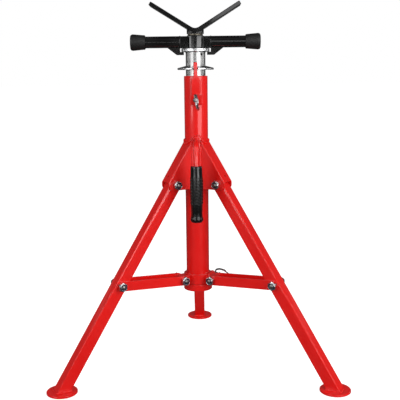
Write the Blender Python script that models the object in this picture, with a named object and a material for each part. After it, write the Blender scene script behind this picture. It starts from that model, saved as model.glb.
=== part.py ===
"""Folding three-legged pipe stand with a V head, a pinned inner tube and a lifting screw.

Lengths are in metres. +Z is up, the front of the stand faces -Y, and the origin is on the
floor under the middle of the stand's box. Every part is built about the main tube's axis, and
one frame at the end sets that axis in its place. Every size that can be chosen is a named value
below, and every other size or place is worked out from those.
"""
import math

import bmesh
import bpy
from mathutils import Matrix, Vector

# Fits and faceting
FIT_GAP = 0.0003
RUNNING_GAP = 0.00045
OVERRUN = 0.002
TUBE_SIDES = 48
ARM_SIDES = 32
ROUND_SIDES = 24
BORE_SIDES = 20
SET_SCREW_SIDES = 12
WIRE_SIDES = 8
RING_STEPS = 32
FOLD_STEPS = 3
ARC_STEP = math.radians(15)

# Main tube, standing upright between the legs
TUBE_OUTER = 0.0483
TUBE_WALL = 0.0032
TUBE_ABOVE_PIVOT = 0.2194
TUBE_BOTTOM_HEIGHT = 0.1685
TUBE_EDGE = 0.0008

# Inner tube with its row of pin holes
INNER_WALL = 0.0032
INNER_SLIDE_GAP = 0.00095
INNER_RISE = 0.0543
INNER_LENGTH = 0.4565
HOLE_PITCH = 0.0508
HOLE_COUNT = 7
FLANGE_OUTER = 0.057
FLANGE_THICKNESS = 0.0063
FLANGE_EDGE = 0.0006
DISC_OUTER = 0.074
DISC_THICKNESS = 0.0038
DISC_BELOW_FLANGE = 0.0282
DISC_DISH = 0.0041
DISC_EDGE = 0.0007
DISC_NOTCH_CLEARANCE = 0.0021

# Key plate on the front of the main tube
KEY_WIDTH = 0.0174
KEY_TONGUE_WIDTH = 0.0078
KEY_THICKNESS = 0.006
KEY_SHOULDER_DROP = 0.0077
KEY_NECK_DROP = 0.0014
KEY_TONGUE_RISE = 0.0268

# Height pin, its boss and its ring
PIN_OUTER = 0.0127
PIN_BELOW_TUBE_TOP = 0.0474
PIN_BOSS_WIDTH = 0.024
PIN_BOSS_HEIGHT = 0.0186
PIN_BOSS_DEPTH = 0.0155
PIN_BOSS_CHAMFER = 0.0015
PIN_BOSS_WALL = 0.003
PIN_CHAMFER = 0.0012
PIN_TIP_PAST_WALL = 0.0026
PIN_DRAW = 0.007
PIN_STEM_OUTER = 0.01
PIN_STEM_PROUD = 0.0114
PIN_HOLE_FROM_END = 0.0056
RING_OUTER = 0.0334
RING_WIRE = 0.0024
RING_WIDTH = 0.0052
RING_LEAN = math.radians(-10)
RING_TURN = math.radians(5)
RING_DROOP = math.radians(15)

# Leg brackets, folded from sheet around the head of each leg
SHEET = 0.003
FOLD_RADIUS = 0.0022
FOLD_PROFILE_SHARE = 0.5
BRACKET_CLEARANCE = 0.0033
BRACKET_BELOW_PIVOT = 0.0105
BRACKET_EAR_RADIUS = 0.009
BRACKET_EAR_REACH = 0.0183
WEB_END_BELOW_PIVOT = -0.0065
WEB_HOLE = 0.0036
WEB_HOLE_FROM_END = 0.0137

# Legs
LEG_WIDTH = 0.0254
LEG_WALL = 0.002
LEG_CORNER = 0.003
LEG_ANGLE = math.radians(33.28)
FOLDED_LEG_ANGLE = math.radians(5)
LEG_LENGTH = 0.4695
LEG_HEAD = 0.011
LEG_HEAD_CHAMFER = 0.006
PIVOT_FROM_TUBE = 0.03145
FOOT_OUTER = 0.0618
FOOT_THICKNESS = 0.005
FOOT_EDGE = 0.001
BRACE_BELOW_PIVOT = 0.2333

# Braces
BRACE_HEIGHT = 0.02
BRACE_WEB_FROM_COLLAR_BOLT = 0.0125
BRACE_WEB_LENGTH = 0.0665

# Sliding collar, stop ring and collar pin
COLLAR_OUTER = 0.06
COLLAR_HEIGHT = 0.0208
COLLAR_EDGE = 0.0008
STOP_RING_OUTER = 0.0603
STOP_RING_HEIGHT = 0.0145
COLLAR_SEAT_GAP = 0.0004
LUG_REACH = 0.0107
LUG_RADIUS = 0.0082
LUG_SIDE_GAP = 0.0006
COLLAR_PIN_OUTER = 0.0089
COLLAR_PIN_DRAW = 0.0041
COLLAR_PIN_STEM_OUTER = 0.0065
COLLAR_PIN_STEM_LENGTH = 0.0057
COLLAR_PIN_HOLE_FROM_END = 0.0033
COLLAR_PIN_BOSS_OUTER = 0.0165
COLLAR_PIN_BOSS_LENGTH = 0.009
COLLAR_PIN_CHAMFER = 0.0008
COLLAR_RING_OUTER = 0.0334
COLLAR_RING_WIRE = 0.0022
COLLAR_RING_WIDTH = 0.0026
COLLAR_RING_LEAN = math.radians(66)
COLLAR_RING_TURN = math.radians(8)
COLLAR_PIN_AZIMUTH = math.radians(30)

# Fasteners
BOLT_OUTER = 0.01
BOLT_HOLE_GAP = 0.0003
HEX_ACROSS_FLATS = 0.017
HEAD_HEIGHT = 0.0064
NUT_HEIGHT = 0.0066
NUT_COLLAR_OUTER = 0.0142
NUT_COLLAR_HEIGHT = 0.0022
BOLT_TIP = 0.0016
BOLT_TIP_CHAMFER = 0.001

# Carrying handle
ROD_OUTER = 0.012
ROD_BEND_RADIUS = 0.02
ROD_ABOVE_PIVOT = 0.0892
ROD_REACH = 0.0478
GRIP_BELOW_ROD = 0.0462
GRIP_LENGTH = 0.1138
GRIP_TOP_OUTER = 0.0226
GRIP_BELLY_OUTER = 0.0258
GRIP_WAIST_OUTER = 0.0218
GRIP_FLARE_OUTER = 0.0254
GRIP_END_OUTER = 0.0225
GRIP_END_WALL = 0.0045

# Lifting screw
SCREW_OUTER = 0.022
SCREW_LENGTH = 0.377
SCREW_GUIDE_OUTER = 0.027
SCREW_GUIDE_HEIGHT = 0.012
SCREW_CHAMFER = 0.0012
KEYWAY_WIDTH = 0.0052
KEYWAY_DEPTH = 0.002
SET_SCREW_OUTER = 0.0046
SET_SCREW_BELOW_FLANGE = 0.0055
SET_SCREW_AZIMUTH = math.radians(-52)
SET_SCREW_PROUD = 0.0004

# Handle that turns on the flange
HUB_OUTER = 0.034
HUB_HEIGHT = 0.0254
HUB_EDGE = 0.0008
HUB_BORE_GAP = 0.0004
ARM_OUTER = 0.0233
ARM_WALL = 0.003
ARM_START = 0.0315
ARM_END = 0.1292
ARM_BELOW_HUB_TOP = 0.0127
GUSSET_THICKNESS = 0.008
GUSSET_REACH = 0.0565
GUSSET_TOE = 0.038
HOOK_INNER = 0.0235
HOOK_SLOT_END = 0.031
HOOK_DEPTH = 0.0061
HOOK_CLEARANCE = 0.0004
GUSSET_TOP_INSET = 0.0002
CAP_START = 0.1015
CAP_END = 0.1315
CAP_INNER_OUTER = 0.0286
CAP_LIP_OUTER = 0.0328
CAP_LIP_INSET = 0.0045
CAP_CHAMFER = 0.0035
CAP_RIM = 0.0012

# Head
THRUST_WASHER_OUTER = 0.031
THRUST_WASHER_THICKNESS = 0.0025
BOSS_OUTER = 0.0346
V_BOTTOM_ABOVE_WASHER = 0.0109
V_ANGLE = math.radians(31.8)
V_INNER_RADIUS = 0.014
V_THICKNESS = 0.0078
V_ARM_REACH = 0.0879
V_DEPTH = 0.045
V_EDGE = 0.0008

# Places that follow from the sizes above
TUBE_RADIUS = TUBE_OUTER / 2
PIVOT_RADIUS = TUBE_RADIUS + PIVOT_FROM_TUBE
FOOT_SEAT = FOOT_THICKNESS + FIT_GAP
PIVOT_HEIGHT = FOOT_SEAT + LEG_LENGTH * math.cos(LEG_ANGLE)
TUBE_TOP = PIVOT_HEIGHT + TUBE_ABOVE_PIVOT
INNER_RADIUS = TUBE_RADIUS - TUBE_WALL - INNER_SLIDE_GAP
INNER_BORE = INNER_RADIUS - INNER_WALL
INNER_TOP = TUBE_TOP + INNER_RISE
INNER_BOTTOM = INNER_TOP - INNER_LENGTH
FLANGE_TOP = INNER_TOP + FIT_GAP
FLANGE_BOTTOM = FLANGE_TOP - FLANGE_THICKNESS
DISC_TOP = FLANGE_BOTTOM - DISC_BELOW_FLANGE
DISC_BOTTOM = DISC_TOP - DISC_THICKNESS
PIN_HEIGHT = TUBE_TOP - PIN_BELOW_TUBE_TOP
PIN_HOLE = PIN_OUTER + 2 * RUNNING_GAP
KEY_BACK = TUBE_RADIUS + FIT_GAP
PIN_BOSS_FRONT = KEY_BACK + PIN_BOSS_DEPTH
PIN_BOSS_ROOM = PIN_BOSS_FRONT - PIN_BOSS_WALL
FOOT_RADIUS_AT = PIVOT_RADIUS + LEG_LENGTH * math.sin(LEG_ANGLE)
TUBE_AXIS_DEPTH = -FOOT_RADIUS_AT / 4
SLOT_HALF = LEG_WIDTH / 2 + RUNNING_GAP
SHEET_OUTSIDE = SLOT_HALF + SHEET
BOLT_HOLE = BOLT_OUTER + 2 * BOLT_HOLE_GAP
STOP_RING_TOP = TUBE_BOTTOM_HEIGHT + STOP_RING_HEIGHT
COLLAR_BOTTOM = STOP_RING_TOP + COLLAR_SEAT_GAP
COLLAR_MIDDLE = COLLAR_BOTTOM + COLLAR_HEIGHT / 2
COLLAR_RADIUS = COLLAR_OUTER / 2
COLLAR_BOLT_RADIUS = COLLAR_RADIUS + LUG_REACH
BRACE_BOLT_RADIUS = PIVOT_RADIUS + BRACE_BELOW_PIVOT * math.sin(LEG_ANGLE)
BRACE_BOLT_HEIGHT = PIVOT_HEIGHT - BRACE_BELOW_PIVOT * math.cos(LEG_ANGLE)
BRACE_RUN = BRACE_BOLT_RADIUS - COLLAR_BOLT_RADIUS
BRACE_RISE = BRACE_BOLT_HEIGHT - COLLAR_MIDDLE
BRACE_LENGTH = math.hypot(BRACE_RUN, BRACE_RISE)
BRACE_ANGLE = math.atan2(BRACE_RISE, BRACE_RUN)
FOLDED_RUN = PIVOT_RADIUS + BRACE_BELOW_PIVOT * math.sin(FOLDED_LEG_ANGLE) - COLLAR_BOLT_RADIUS
FOLDED_COLLAR_MIDDLE = (
    PIVOT_HEIGHT
    - BRACE_BELOW_PIVOT * math.cos(FOLDED_LEG_ANGLE)
    + math.sqrt(BRACE_LENGTH**2 - FOLDED_RUN**2)
)
COLLAR_PIN_HOLE = COLLAR_PIN_OUTER + 2 * FIT_GAP
HUB_BOTTOM = FLANGE_TOP + FIT_GAP
HUB_TOP = HUB_BOTTOM + HUB_HEIGHT
ARM_HEIGHT = HUB_TOP - ARM_BELOW_HUB_TOP
ARM_RADIUS = ARM_OUTER / 2
WASHER_BOTTOM = HUB_TOP + FIT_GAP
WASHER_TOP = WASHER_BOTTOM + THRUST_WASHER_THICKNESS
BOSS_BOTTOM = WASHER_TOP + FIT_GAP
V_BOTTOM = WASHER_TOP + V_BOTTOM_ABOVE_WASHER
SCREW_RADIUS = SCREW_OUTER / 2
SCREW_BORE = SCREW_OUTER + 2 * HUB_BORE_GAP
SCREW_TOP = V_BOTTOM - V_THICKNESS - FIT_GAP
SCREW_BOTTOM = SCREW_TOP - SCREW_LENGTH
ROD_HEIGHT = PIVOT_HEIGHT + ROD_ABOVE_PIVOT
ROD_RADIUS = ROD_OUTER / 2
GRIP_TOP = ROD_HEIGHT - GRIP_BELOW_ROD
ROD_AXIS_DEPTH = TUBE_RADIUS + ROD_REACH

FRONT = math.radians(-90)
LEG_AZIMUTHS = {
    "left": math.radians(210),
    "right": math.radians(330),
    "rear": math.radians(90),
}
NUT_SIDES = {"left": 1, "right": -1, "rear": 1}
X_AXIS = Vector((1, 0, 0))
Y_AXIS = Vector((0, 1, 0))
Z_AXIS = Vector((0, 0, 1))


def clear_scene():
    """Remove whatever the file opened with."""
    for item in list(bpy.data.objects):
        bpy.data.objects.remove(item, do_unlink=True)


def finish(name, colour, roughness, metallic):
    """A Principled material."""
    material = bpy.data.materials.new(name)
    material.use_nodes = True
    shader = material.node_tree.nodes["Principled BSDF"]
    shader.inputs["Base Color"].default_value = (*colour, 1)
    shader.inputs["Roughness"].default_value = roughness
    shader.inputs["Metallic"].default_value = metallic
    material.diffuse_color = (*colour, 1)
    return material


def red_paint(name):
    return finish(name + "_red_paint", (0.62, 0.012, 0.01), 0.35, 0)


def black_paint(name):
    return finish(name + "_black_paint", (0.012, 0.012, 0.013), 0.42, 0)


def black_rubber(name):
    return finish(name + "_black_rubber", (0.014, 0.014, 0.014), 0.65, 0)


def zinc_plate(name):
    return finish(name + "_zinc_plate", (0.62, 0.63, 0.65), 0.28, 1)


def bare_steel(name):
    return finish(name + "_bare_steel", (0.34, 0.32, 0.29), 0.4, 1)


def bronze(name):
    return finish(name + "_bronze", (0.36, 0.24, 0.11), 0.45, 1)


def add_object(name, shape, coat, parent=None, smooth=True):
    """Turn a bmesh into a named object with its own material."""
    bmesh.ops.recalc_face_normals(shape, faces=shape.faces)
    mesh = bpy.data.meshes.new(name)
    shape.to_mesh(mesh)
    shape.free()
    if smooth:
        mesh.shade_smooth()
        mesh.set_sharp_from_angle(angle=math.radians(35))
    item = bpy.data.objects.new(name, mesh)
    bpy.context.collection.objects.link(item)
    if coat:
        mesh.materials.append(coat(name))
    if parent:
        item.parent = parent
    return item


def add_frame(name, origin, azimuth=0.0, parent=None):
    """An empty that carries a group: its X axis points out along the azimuth."""
    frame = bpy.data.objects.new(name, None)
    bpy.context.collection.objects.link(frame)
    frame.location = origin
    frame.rotation_euler = (0, 0, azimuth)
    if parent:
        frame.parent = parent
    return frame


def lathe(profile, sides=ROUND_SIDES, closed=False, hexagonal=()):
    """Turn (radius, height) points about Z. Rows in hexagonal follow a hexagon's outline."""
    shape = bmesh.new()
    rings = []
    for row, (radius, height) in enumerate(profile):
        if radius == 0:
            rings.append([shape.verts.new((0, 0, height))])
            continue
        ring = []
        for step in range(sides):
            angle = math.tau * step / sides
            reach = radius
            if row in hexagonal:
                sector = math.tau / 6
                reach = radius / math.cos((angle + sector / 2) % sector - sector / 2)
            ring.append(shape.verts.new((reach * math.cos(angle), reach * math.sin(angle), height)))
        rings.append(ring)
    pairs = list(zip(rings, rings[1:]))
    if closed:
        pairs.append((rings[-1], rings[0]))
    for lower, upper in pairs:
        for step in range(sides):
            after = (step + 1) % sides
            corners = [lower[step % len(lower)], lower[after % len(lower)]]
            corners += [upper[after % len(upper)], upper[step % len(upper)]]
            shape.faces.new(list(dict.fromkeys(corners)))
    return shape


def tube_profile(outer_radius, bore_radius, bottom, top, edge=0.0):
    """A closed profile of a straight tube with its outer edges eased."""
    points = [(bore_radius, bottom), (outer_radius - edge, bottom)]
    if edge:
        points += [(outer_radius, bottom + edge), (outer_radius, top - edge)]
    points += [(outer_radius - edge, top), (bore_radius, top)]
    return points


def extrude_outline(outline, half_width, axis="Y"):
    """Extrude a flat outline both ways from its own plane: (x, z) along Y or (x, y) along Z."""
    shape = bmesh.new()
    near, far = [], []
    for across, up in outline:
        if axis == "Y":
            near.append(shape.verts.new((across, -half_width, up)))
            far.append(shape.verts.new((across, half_width, up)))
        else:
            near.append(shape.verts.new((across, up, -half_width)))
            far.append(shape.verts.new((across, up, half_width)))
    shape.faces.new(near)
    shape.faces.new(list(reversed(far)))
    for first in range(len(outline)):
        second = (first + 1) % len(outline)
        shape.faces.new([near[second], near[first], far[first], far[second]])
    return shape


def arc_points(centre, radius, start, end):
    """Points along an arc, about 15 degrees apart, both ends included."""
    steps = max(2, math.ceil(abs(end - start) / ARC_STEP))
    points = []
    for step in range(steps + 1):
        angle = start + (end - start) * step / steps
        points.append((centre[0] + radius * math.cos(angle), centre[1] + radius * math.sin(angle)))
    return points


def box_shape(low, high):
    """A plain box between two corners."""
    shape = bmesh.new()
    bmesh.ops.create_cube(shape, size=1)
    size = Vector(high) - Vector(low)
    middle = (Vector(high) + Vector(low)) / 2
    bmesh.ops.scale(shape, vec=size, verts=shape.verts)
    bmesh.ops.translate(shape, vec=middle, verts=shape.verts)
    return shape


def rod_shape(radius, start, length, sides=BORE_SIDES):
    """A plain cylinder along Z from start, for a shank or a cutter."""
    return lathe([(0, start), (radius, start), (radius, start + length), (0, start + length)], sides)


def point_along(item, direction, origin=(0, 0, 0)):
    """Stand an object's own Z axis along a direction, at an origin in its parent's frame."""
    item.rotation_euler = Vector(direction).to_track_quat("Z", "Y").to_euler()
    item.location = origin


def cut(item, name, shape, parent=None, direction=None, origin=(0, 0, 0)):
    """Subtract a hidden cutter from an object."""
    cutter = add_object(name, shape, None, parent, smooth=False)
    if direction is not None:
        point_along(cutter, direction, origin)
    else:
        cutter.location = origin
    cutter.hide_render = True
    cutter.display_type = "WIRE"
    difference = item.modifiers.new(name, "BOOLEAN")
    difference.operation = "DIFFERENCE"
    difference.solver = "EXACT"
    difference.object = cutter
    return cutter


def radial(azimuth):
    return Vector((math.cos(azimuth), math.sin(azimuth), 0))


def bevel_sharp_edges(item, width):
    """A small one-step bevel on the sharp edges."""
    bevel = item.modifiers.new("edge", "BEVEL")
    bevel.width = width
    bevel.segments = 1
    bevel.limit_method = "ANGLE"
    bevel.angle_limit = math.radians(50)
    return bevel


# Main tube and what is welded to it


def make_main_tube():
    shape = lathe(
        tube_profile(TUBE_RADIUS, TUBE_RADIUS - TUBE_WALL, TUBE_BOTTOM_HEIGHT, TUBE_TOP, TUBE_EDGE),
        TUBE_SIDES,
        closed=True,
    )
    tube = add_object("main_tube", shape, red_paint)
    reach = TUBE_WALL + 2 * OVERRUN
    start = TUBE_RADIUS - TUBE_WALL - OVERRUN
    cut(
        tube,
        "main_tube_pin_bore",
        rod_shape(PIN_HOLE / 2, start, reach),
        direction=radial(FRONT),
        origin=(0, 0, PIN_HEIGHT),
    )
    for label, height in (("working", COLLAR_MIDDLE), ("folded", FOLDED_COLLAR_MIDDLE)):
        cut(
            tube,
            "main_tube_collar_bore_" + label,
            rod_shape(COLLAR_PIN_HOLE / 2, start, reach),
            direction=radial(COLLAR_PIN_AZIMUTH),
            origin=(0, 0, height),
        )
    return tube


def make_stop_ring():
    profile = tube_profile(
        STOP_RING_OUTER / 2, TUBE_RADIUS + FIT_GAP, TUBE_BOTTOM_HEIGHT, STOP_RING_TOP, COLLAR_EDGE
    )
    return add_object("stop_ring", lathe(profile, TUBE_SIDES, closed=True), red_paint)


def make_key_plate():
    """Plate on the tube's front whose narrow tongue stands up through the notched disc."""
    half, tongue = KEY_WIDTH / 2, KEY_TONGUE_WIDTH / 2
    bottom = PIN_HEIGHT + PIN_BOSS_HEIGHT / 2 + FIT_GAP
    shoulder = TUBE_TOP - KEY_SHOULDER_DROP
    neck = TUBE_TOP - KEY_NECK_DROP
    top = TUBE_TOP + KEY_TONGUE_RISE
    right = [(half, bottom), (half, shoulder), (tongue, neck), (tongue, top)]
    left = [(-across, up) for across, up in reversed(right)]
    plate = add_object(
        "key_plate", extrude_outline(right + left, KEY_THICKNESS / 2), red_paint, smooth=False
    )
    plate.location = (0, -KEY_BACK - KEY_THICKNESS / 2, 0)
    bevel_sharp_edges(plate, TUBE_EDGE)
    return plate


def make_pin_boss():
    """Block on the tube's front that guides the height pin and stops its shoulder."""
    half, tall = PIN_BOSS_WIDTH / 2, PIN_BOSS_HEIGHT / 2
    chamfer = PIN_BOSS_CHAMFER
    front = -PIN_BOSS_FRONT
    back = -TUBE_RADIUS / 2
    outline = [
        (-half, back),
        (-half, front + chamfer),
        (-half + chamfer, front),
        (half - chamfer, front),
        (half, front + chamfer),
        (half, back),
    ]
    boss = add_object(
        "height_pin_boss", extrude_outline(outline, tall, axis="Z"), red_paint, smooth=False
    )
    boss.location = (0, 0, PIN_HEIGHT)
    cut(
        boss,
        "height_pin_boss_saddle",
        rod_shape(TUBE_RADIUS + FIT_GAP, PIN_HEIGHT - PIN_BOSS_HEIGHT, 2 * PIN_BOSS_HEIGHT, TUBE_SIDES),
    )
    cut(
        boss,
        "height_pin_boss_bore",
        rod_shape(PIN_HOLE / 2, TUBE_RADIUS / 2, PIN_BOSS_ROOM - TUBE_RADIUS / 2),
        direction=radial(FRONT),
        origin=(0, 0, PIN_HEIGHT),
    )
    cut(
        boss,
        "height_pin_boss_stem_bore",
        rod_shape(PIN_STEM_OUTER / 2 + RUNNING_GAP, PIN_BOSS_ROOM - OVERRUN, PIN_BOSS_WALL + 2 * OVERRUN),
        direction=radial(FRONT),
        origin=(0, 0, PIN_HEIGHT),
    )
    return boss


def bracket_web_line():
    """Where the outer face of the bracket's web runs, in the leg's own upright plane."""
    reach = LEG_WIDTH / 2 + BRACKET_CLEARANCE + SHEET
    start_radius = PIVOT_RADIUS + reach * math.cos(LEG_ANGLE)
    start_height = PIVOT_HEIGHT + reach * math.sin(LEG_ANGLE)
    return start_radius, start_height


def is_fold(edge, shoulder):
    """Whether an edge of the bracket's block runs along one of the web's two folds."""
    first, second = edge.verts
    level = min(first.co.z, second.co.z)
    return abs(level - shoulder) < FIT_GAP and abs(first.co.z - second.co.z) > SHEET


def make_leg_bracket(side):
    """Folded channel: a sloping web over the leg's head and a flange down each of its sides."""
    start_radius, start_height = bracket_web_line()
    slope = math.tan(LEG_ANGLE)

    def web_radius(height):
        return start_radius - slope * (height - start_height)

    inside = TUBE_RADIUS / 2
    top = start_height + (start_radius - inside) / slope
    bottom = PIVOT_HEIGHT - BRACKET_BELOW_PIVOT
    ear_radius = PIVOT_RADIUS + BRACKET_EAR_REACH
    ear = (ear_radius - BRACKET_EAR_RADIUS, bottom + BRACKET_EAR_RADIUS)
    shoulder = start_height + (start_radius - ear_radius) / slope
    outline = [(inside, top), (ear_radius, shoulder)]
    outline += arc_points(ear, BRACKET_EAR_RADIUS, 0, -math.pi / 2)
    outline += [(inside, bottom)]
    frame = add_frame("bracket_frame_" + side, (0, 0, 0), LEG_AZIMUTHS[side])
    shape = extrude_outline(outline, SHEET_OUTSIDE)
    shape.edges.ensure_lookup_table()
    folds = [edge for edge in shape.edges if is_fold(edge, shoulder)]
    bmesh.ops.bevel(
        shape,
        geom=folds,
        offset=FOLD_RADIUS,
        segments=FOLD_STEPS,
        profile=FOLD_PROFILE_SHARE,
        affect="EDGES",
    )
    bracket = add_object("leg_bracket_" + side, shape, red_paint, frame)
    web_end = PIVOT_HEIGHT - WEB_END_BELOW_PIVOT
    thickness = SHEET / math.cos(LEG_ANGLE)
    room = [
        (inside - OVERRUN, bottom - OVERRUN),
        (ear_radius + OVERRUN, bottom - OVERRUN),
        (ear_radius + OVERRUN, web_end),
        (web_radius(web_end), web_end),
        (web_radius(web_end) - SHEET * math.cos(LEG_ANGLE), web_end - SHEET * math.sin(LEG_ANGLE)),
        (inside - OVERRUN, top - (thickness - OVERRUN) / slope),
    ]
    cut(bracket, "bracket_room_" + side, extrude_outline(room, SLOT_HALF), frame)
    cut(
        bracket,
        "bracket_cope_" + side,
        rod_shape(TUBE_RADIUS + FIT_GAP, bottom - OVERRUN, top - bottom + 2 * OVERRUN, TUBE_SIDES),
        frame,
    )
    cut(
        bracket,
        "bracket_bore_" + side,
        rod_shape(BOLT_HOLE / 2, -SHEET_OUTSIDE - OVERRUN, 2 * (SHEET_OUTSIDE + OVERRUN)),
        frame,
        direction=Y_AXIS,
        origin=(PIVOT_RADIUS, 0, PIVOT_HEIGHT),
    )
    hole_radius = web_radius(web_end) - WEB_HOLE_FROM_END * math.sin(LEG_ANGLE)
    hole_height = web_end + WEB_HOLE_FROM_END * math.cos(LEG_ANGLE)
    cut(
        bracket,
        "bracket_web_hole_" + side,
        rod_shape(WEB_HOLE / 2, -SHEET - OVERRUN, SHEET + 2 * OVERRUN),
        frame,
        direction=(math.cos(LEG_ANGLE), 0, math.sin(LEG_ANGLE)),
        origin=(hole_radius, 0, hole_height),
    )
    return bracket


def make_carry_handle():
    """Bent rod on the tube's front with a rubber grip on its free end."""
    end_depth = TUBE_RADIUS + FIT_GAP
    bend_start = ROD_AXIS_DEPTH - ROD_BEND_RADIUS
    path = [(-end_depth, ROD_HEIGHT)]
    centre = (-bend_start, ROD_HEIGHT - ROD_BEND_RADIUS)
    path += arc_points(centre, ROD_BEND_RADIUS, math.pi / 2, math.pi)
    rod_end = GRIP_TOP - GRIP_LENGTH + GRIP_END_WALL + FIT_GAP
    path += [(-ROD_AXIS_DEPTH, rod_end)]
    curve = bpy.data.curves.new("carry_handle_rod", "CURVE")
    curve.dimensions = "3D"
    curve.bevel_depth = ROD_RADIUS
    curve.bevel_resolution = 4
    curve.use_fill_caps = True
    spline = curve.splines.new("POLY")
    spline.points.add(len(path) - 1)
    for point, (depth, height) in zip(spline.points, path):
        point.co = (0, depth, height, 1)
    rod = bpy.data.objects.new("carry_handle_rod", curve)
    bpy.context.collection.objects.link(rod)
    curve.materials.append(red_paint("carry_handle_rod"))
    bottom = GRIP_TOP - GRIP_LENGTH
    bore = ROD_RADIUS + FIT_GAP
    shares = (
        (0.0, GRIP_END_OUTER / 2 - CAP_RIM),
        (0.015, GRIP_END_OUTER / 2),
        (0.045, GRIP_FLARE_OUTER / 2),
        (0.1, GRIP_FLARE_OUTER / 2),
        (0.16, (GRIP_FLARE_OUTER + GRIP_WAIST_OUTER) / 4),
        (0.24, GRIP_WAIST_OUTER / 2),
        (0.34, (3 * GRIP_WAIST_OUTER + GRIP_BELLY_OUTER) / 8),
        (0.46, (GRIP_WAIST_OUTER + 3 * GRIP_BELLY_OUTER) / 8),
        (0.6, GRIP_BELLY_OUTER / 2),
        (0.76, (GRIP_TOP_OUTER + 3 * GRIP_BELLY_OUTER) / 8),
        (0.9, (3 * GRIP_TOP_OUTER + GRIP_BELLY_OUTER) / 8),
        (0.985, GRIP_TOP_OUTER / 2),
        (1.0, GRIP_TOP_OUTER / 2 - CAP_RIM),
    )
    profile = [(0, bottom)]
    profile += [(radius, bottom + share * GRIP_LENGTH) for share, radius in shares]
    profile += [(bore, GRIP_TOP), (bore, bottom + GRIP_END_WALL), (0, bottom + GRIP_END_WALL)]
    grip = add_object("carry_handle_grip", lathe(profile, ROUND_SIDES), black_rubber)
    grip.location = (0, -ROD_AXIS_DEPTH, 0)
    return rod, grip


# Fasteners


def bolt_shape(seat, length, tip=True):
    """Hex bolt along Z: the head is below zero and the shank runs up."""
    radius, flat = BOLT_OUTER / 2, HEX_ACROSS_FLATS / 2
    ease = BOLT_TIP_CHAMFER
    low = seat - HEAD_HEIGHT
    rows = [(0, low), (flat - ease / 2, low), (flat, low + ease), (flat, seat), (radius, seat)]
    end = seat + length
    if tip:
        rows += [(radius, end - ease), (radius - ease, end), (0, end)]
    else:
        rows += [(radius, end), (0, end)]
    return lathe(rows, hexagonal=(2, 3))


def nut_shape(bore_radius=None, stub=0.0):
    """Locking nut along Z from zero up, bored for a bolt, or solid with its own stub and tip."""
    flat, collar = HEX_ACROSS_FLATS / 2, NUT_COLLAR_OUTER / 2
    ease = BOLT_TIP_CHAMFER
    top = NUT_HEIGHT + NUT_COLLAR_HEIGHT
    outside = [(flat, 0), (flat, NUT_HEIGHT - ease / 2), (collar, NUT_HEIGHT)]
    outside += [(collar, top - ease / 2), (collar - ease, top)]
    if bore_radius:
        return lathe([(bore_radius, 0)] + outside + [(bore_radius, top)], closed=True, hexagonal=(1, 2))
    radius = BOLT_OUTER / 2
    tip = top + BOLT_TIP
    rows = [(0, -stub), (radius, -stub), (radius, 0)] + outside
    rows += [(radius, top), (radius, tip - ease), (radius - ease, tip), (0, tip)]
    return lathe(rows, hexagonal=(3, 4))


def add_through_bolt(name, frame, origin, half_width, nut_side):
    """A bolt across the frame's Y axis with its nut on the named side."""
    seat = half_width + FIT_GAP
    length = 2 * seat + FIT_GAP + NUT_HEIGHT + NUT_COLLAR_HEIGHT + BOLT_TIP
    towards_nut = Y_AXIS * nut_side
    bolt = add_object(name + "_bolt", bolt_shape(-seat, length), zinc_plate, frame)
    point_along(bolt, towards_nut, origin)
    nut = add_object(name + "_nut", nut_shape(BOLT_OUTER / 2 + BOLT_HOLE_GAP), zinc_plate, frame)
    point_along(nut, towards_nut, Vector(origin) + towards_nut * (seat + FIT_GAP))
    return bolt, nut


# Legs, braces and collar


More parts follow.
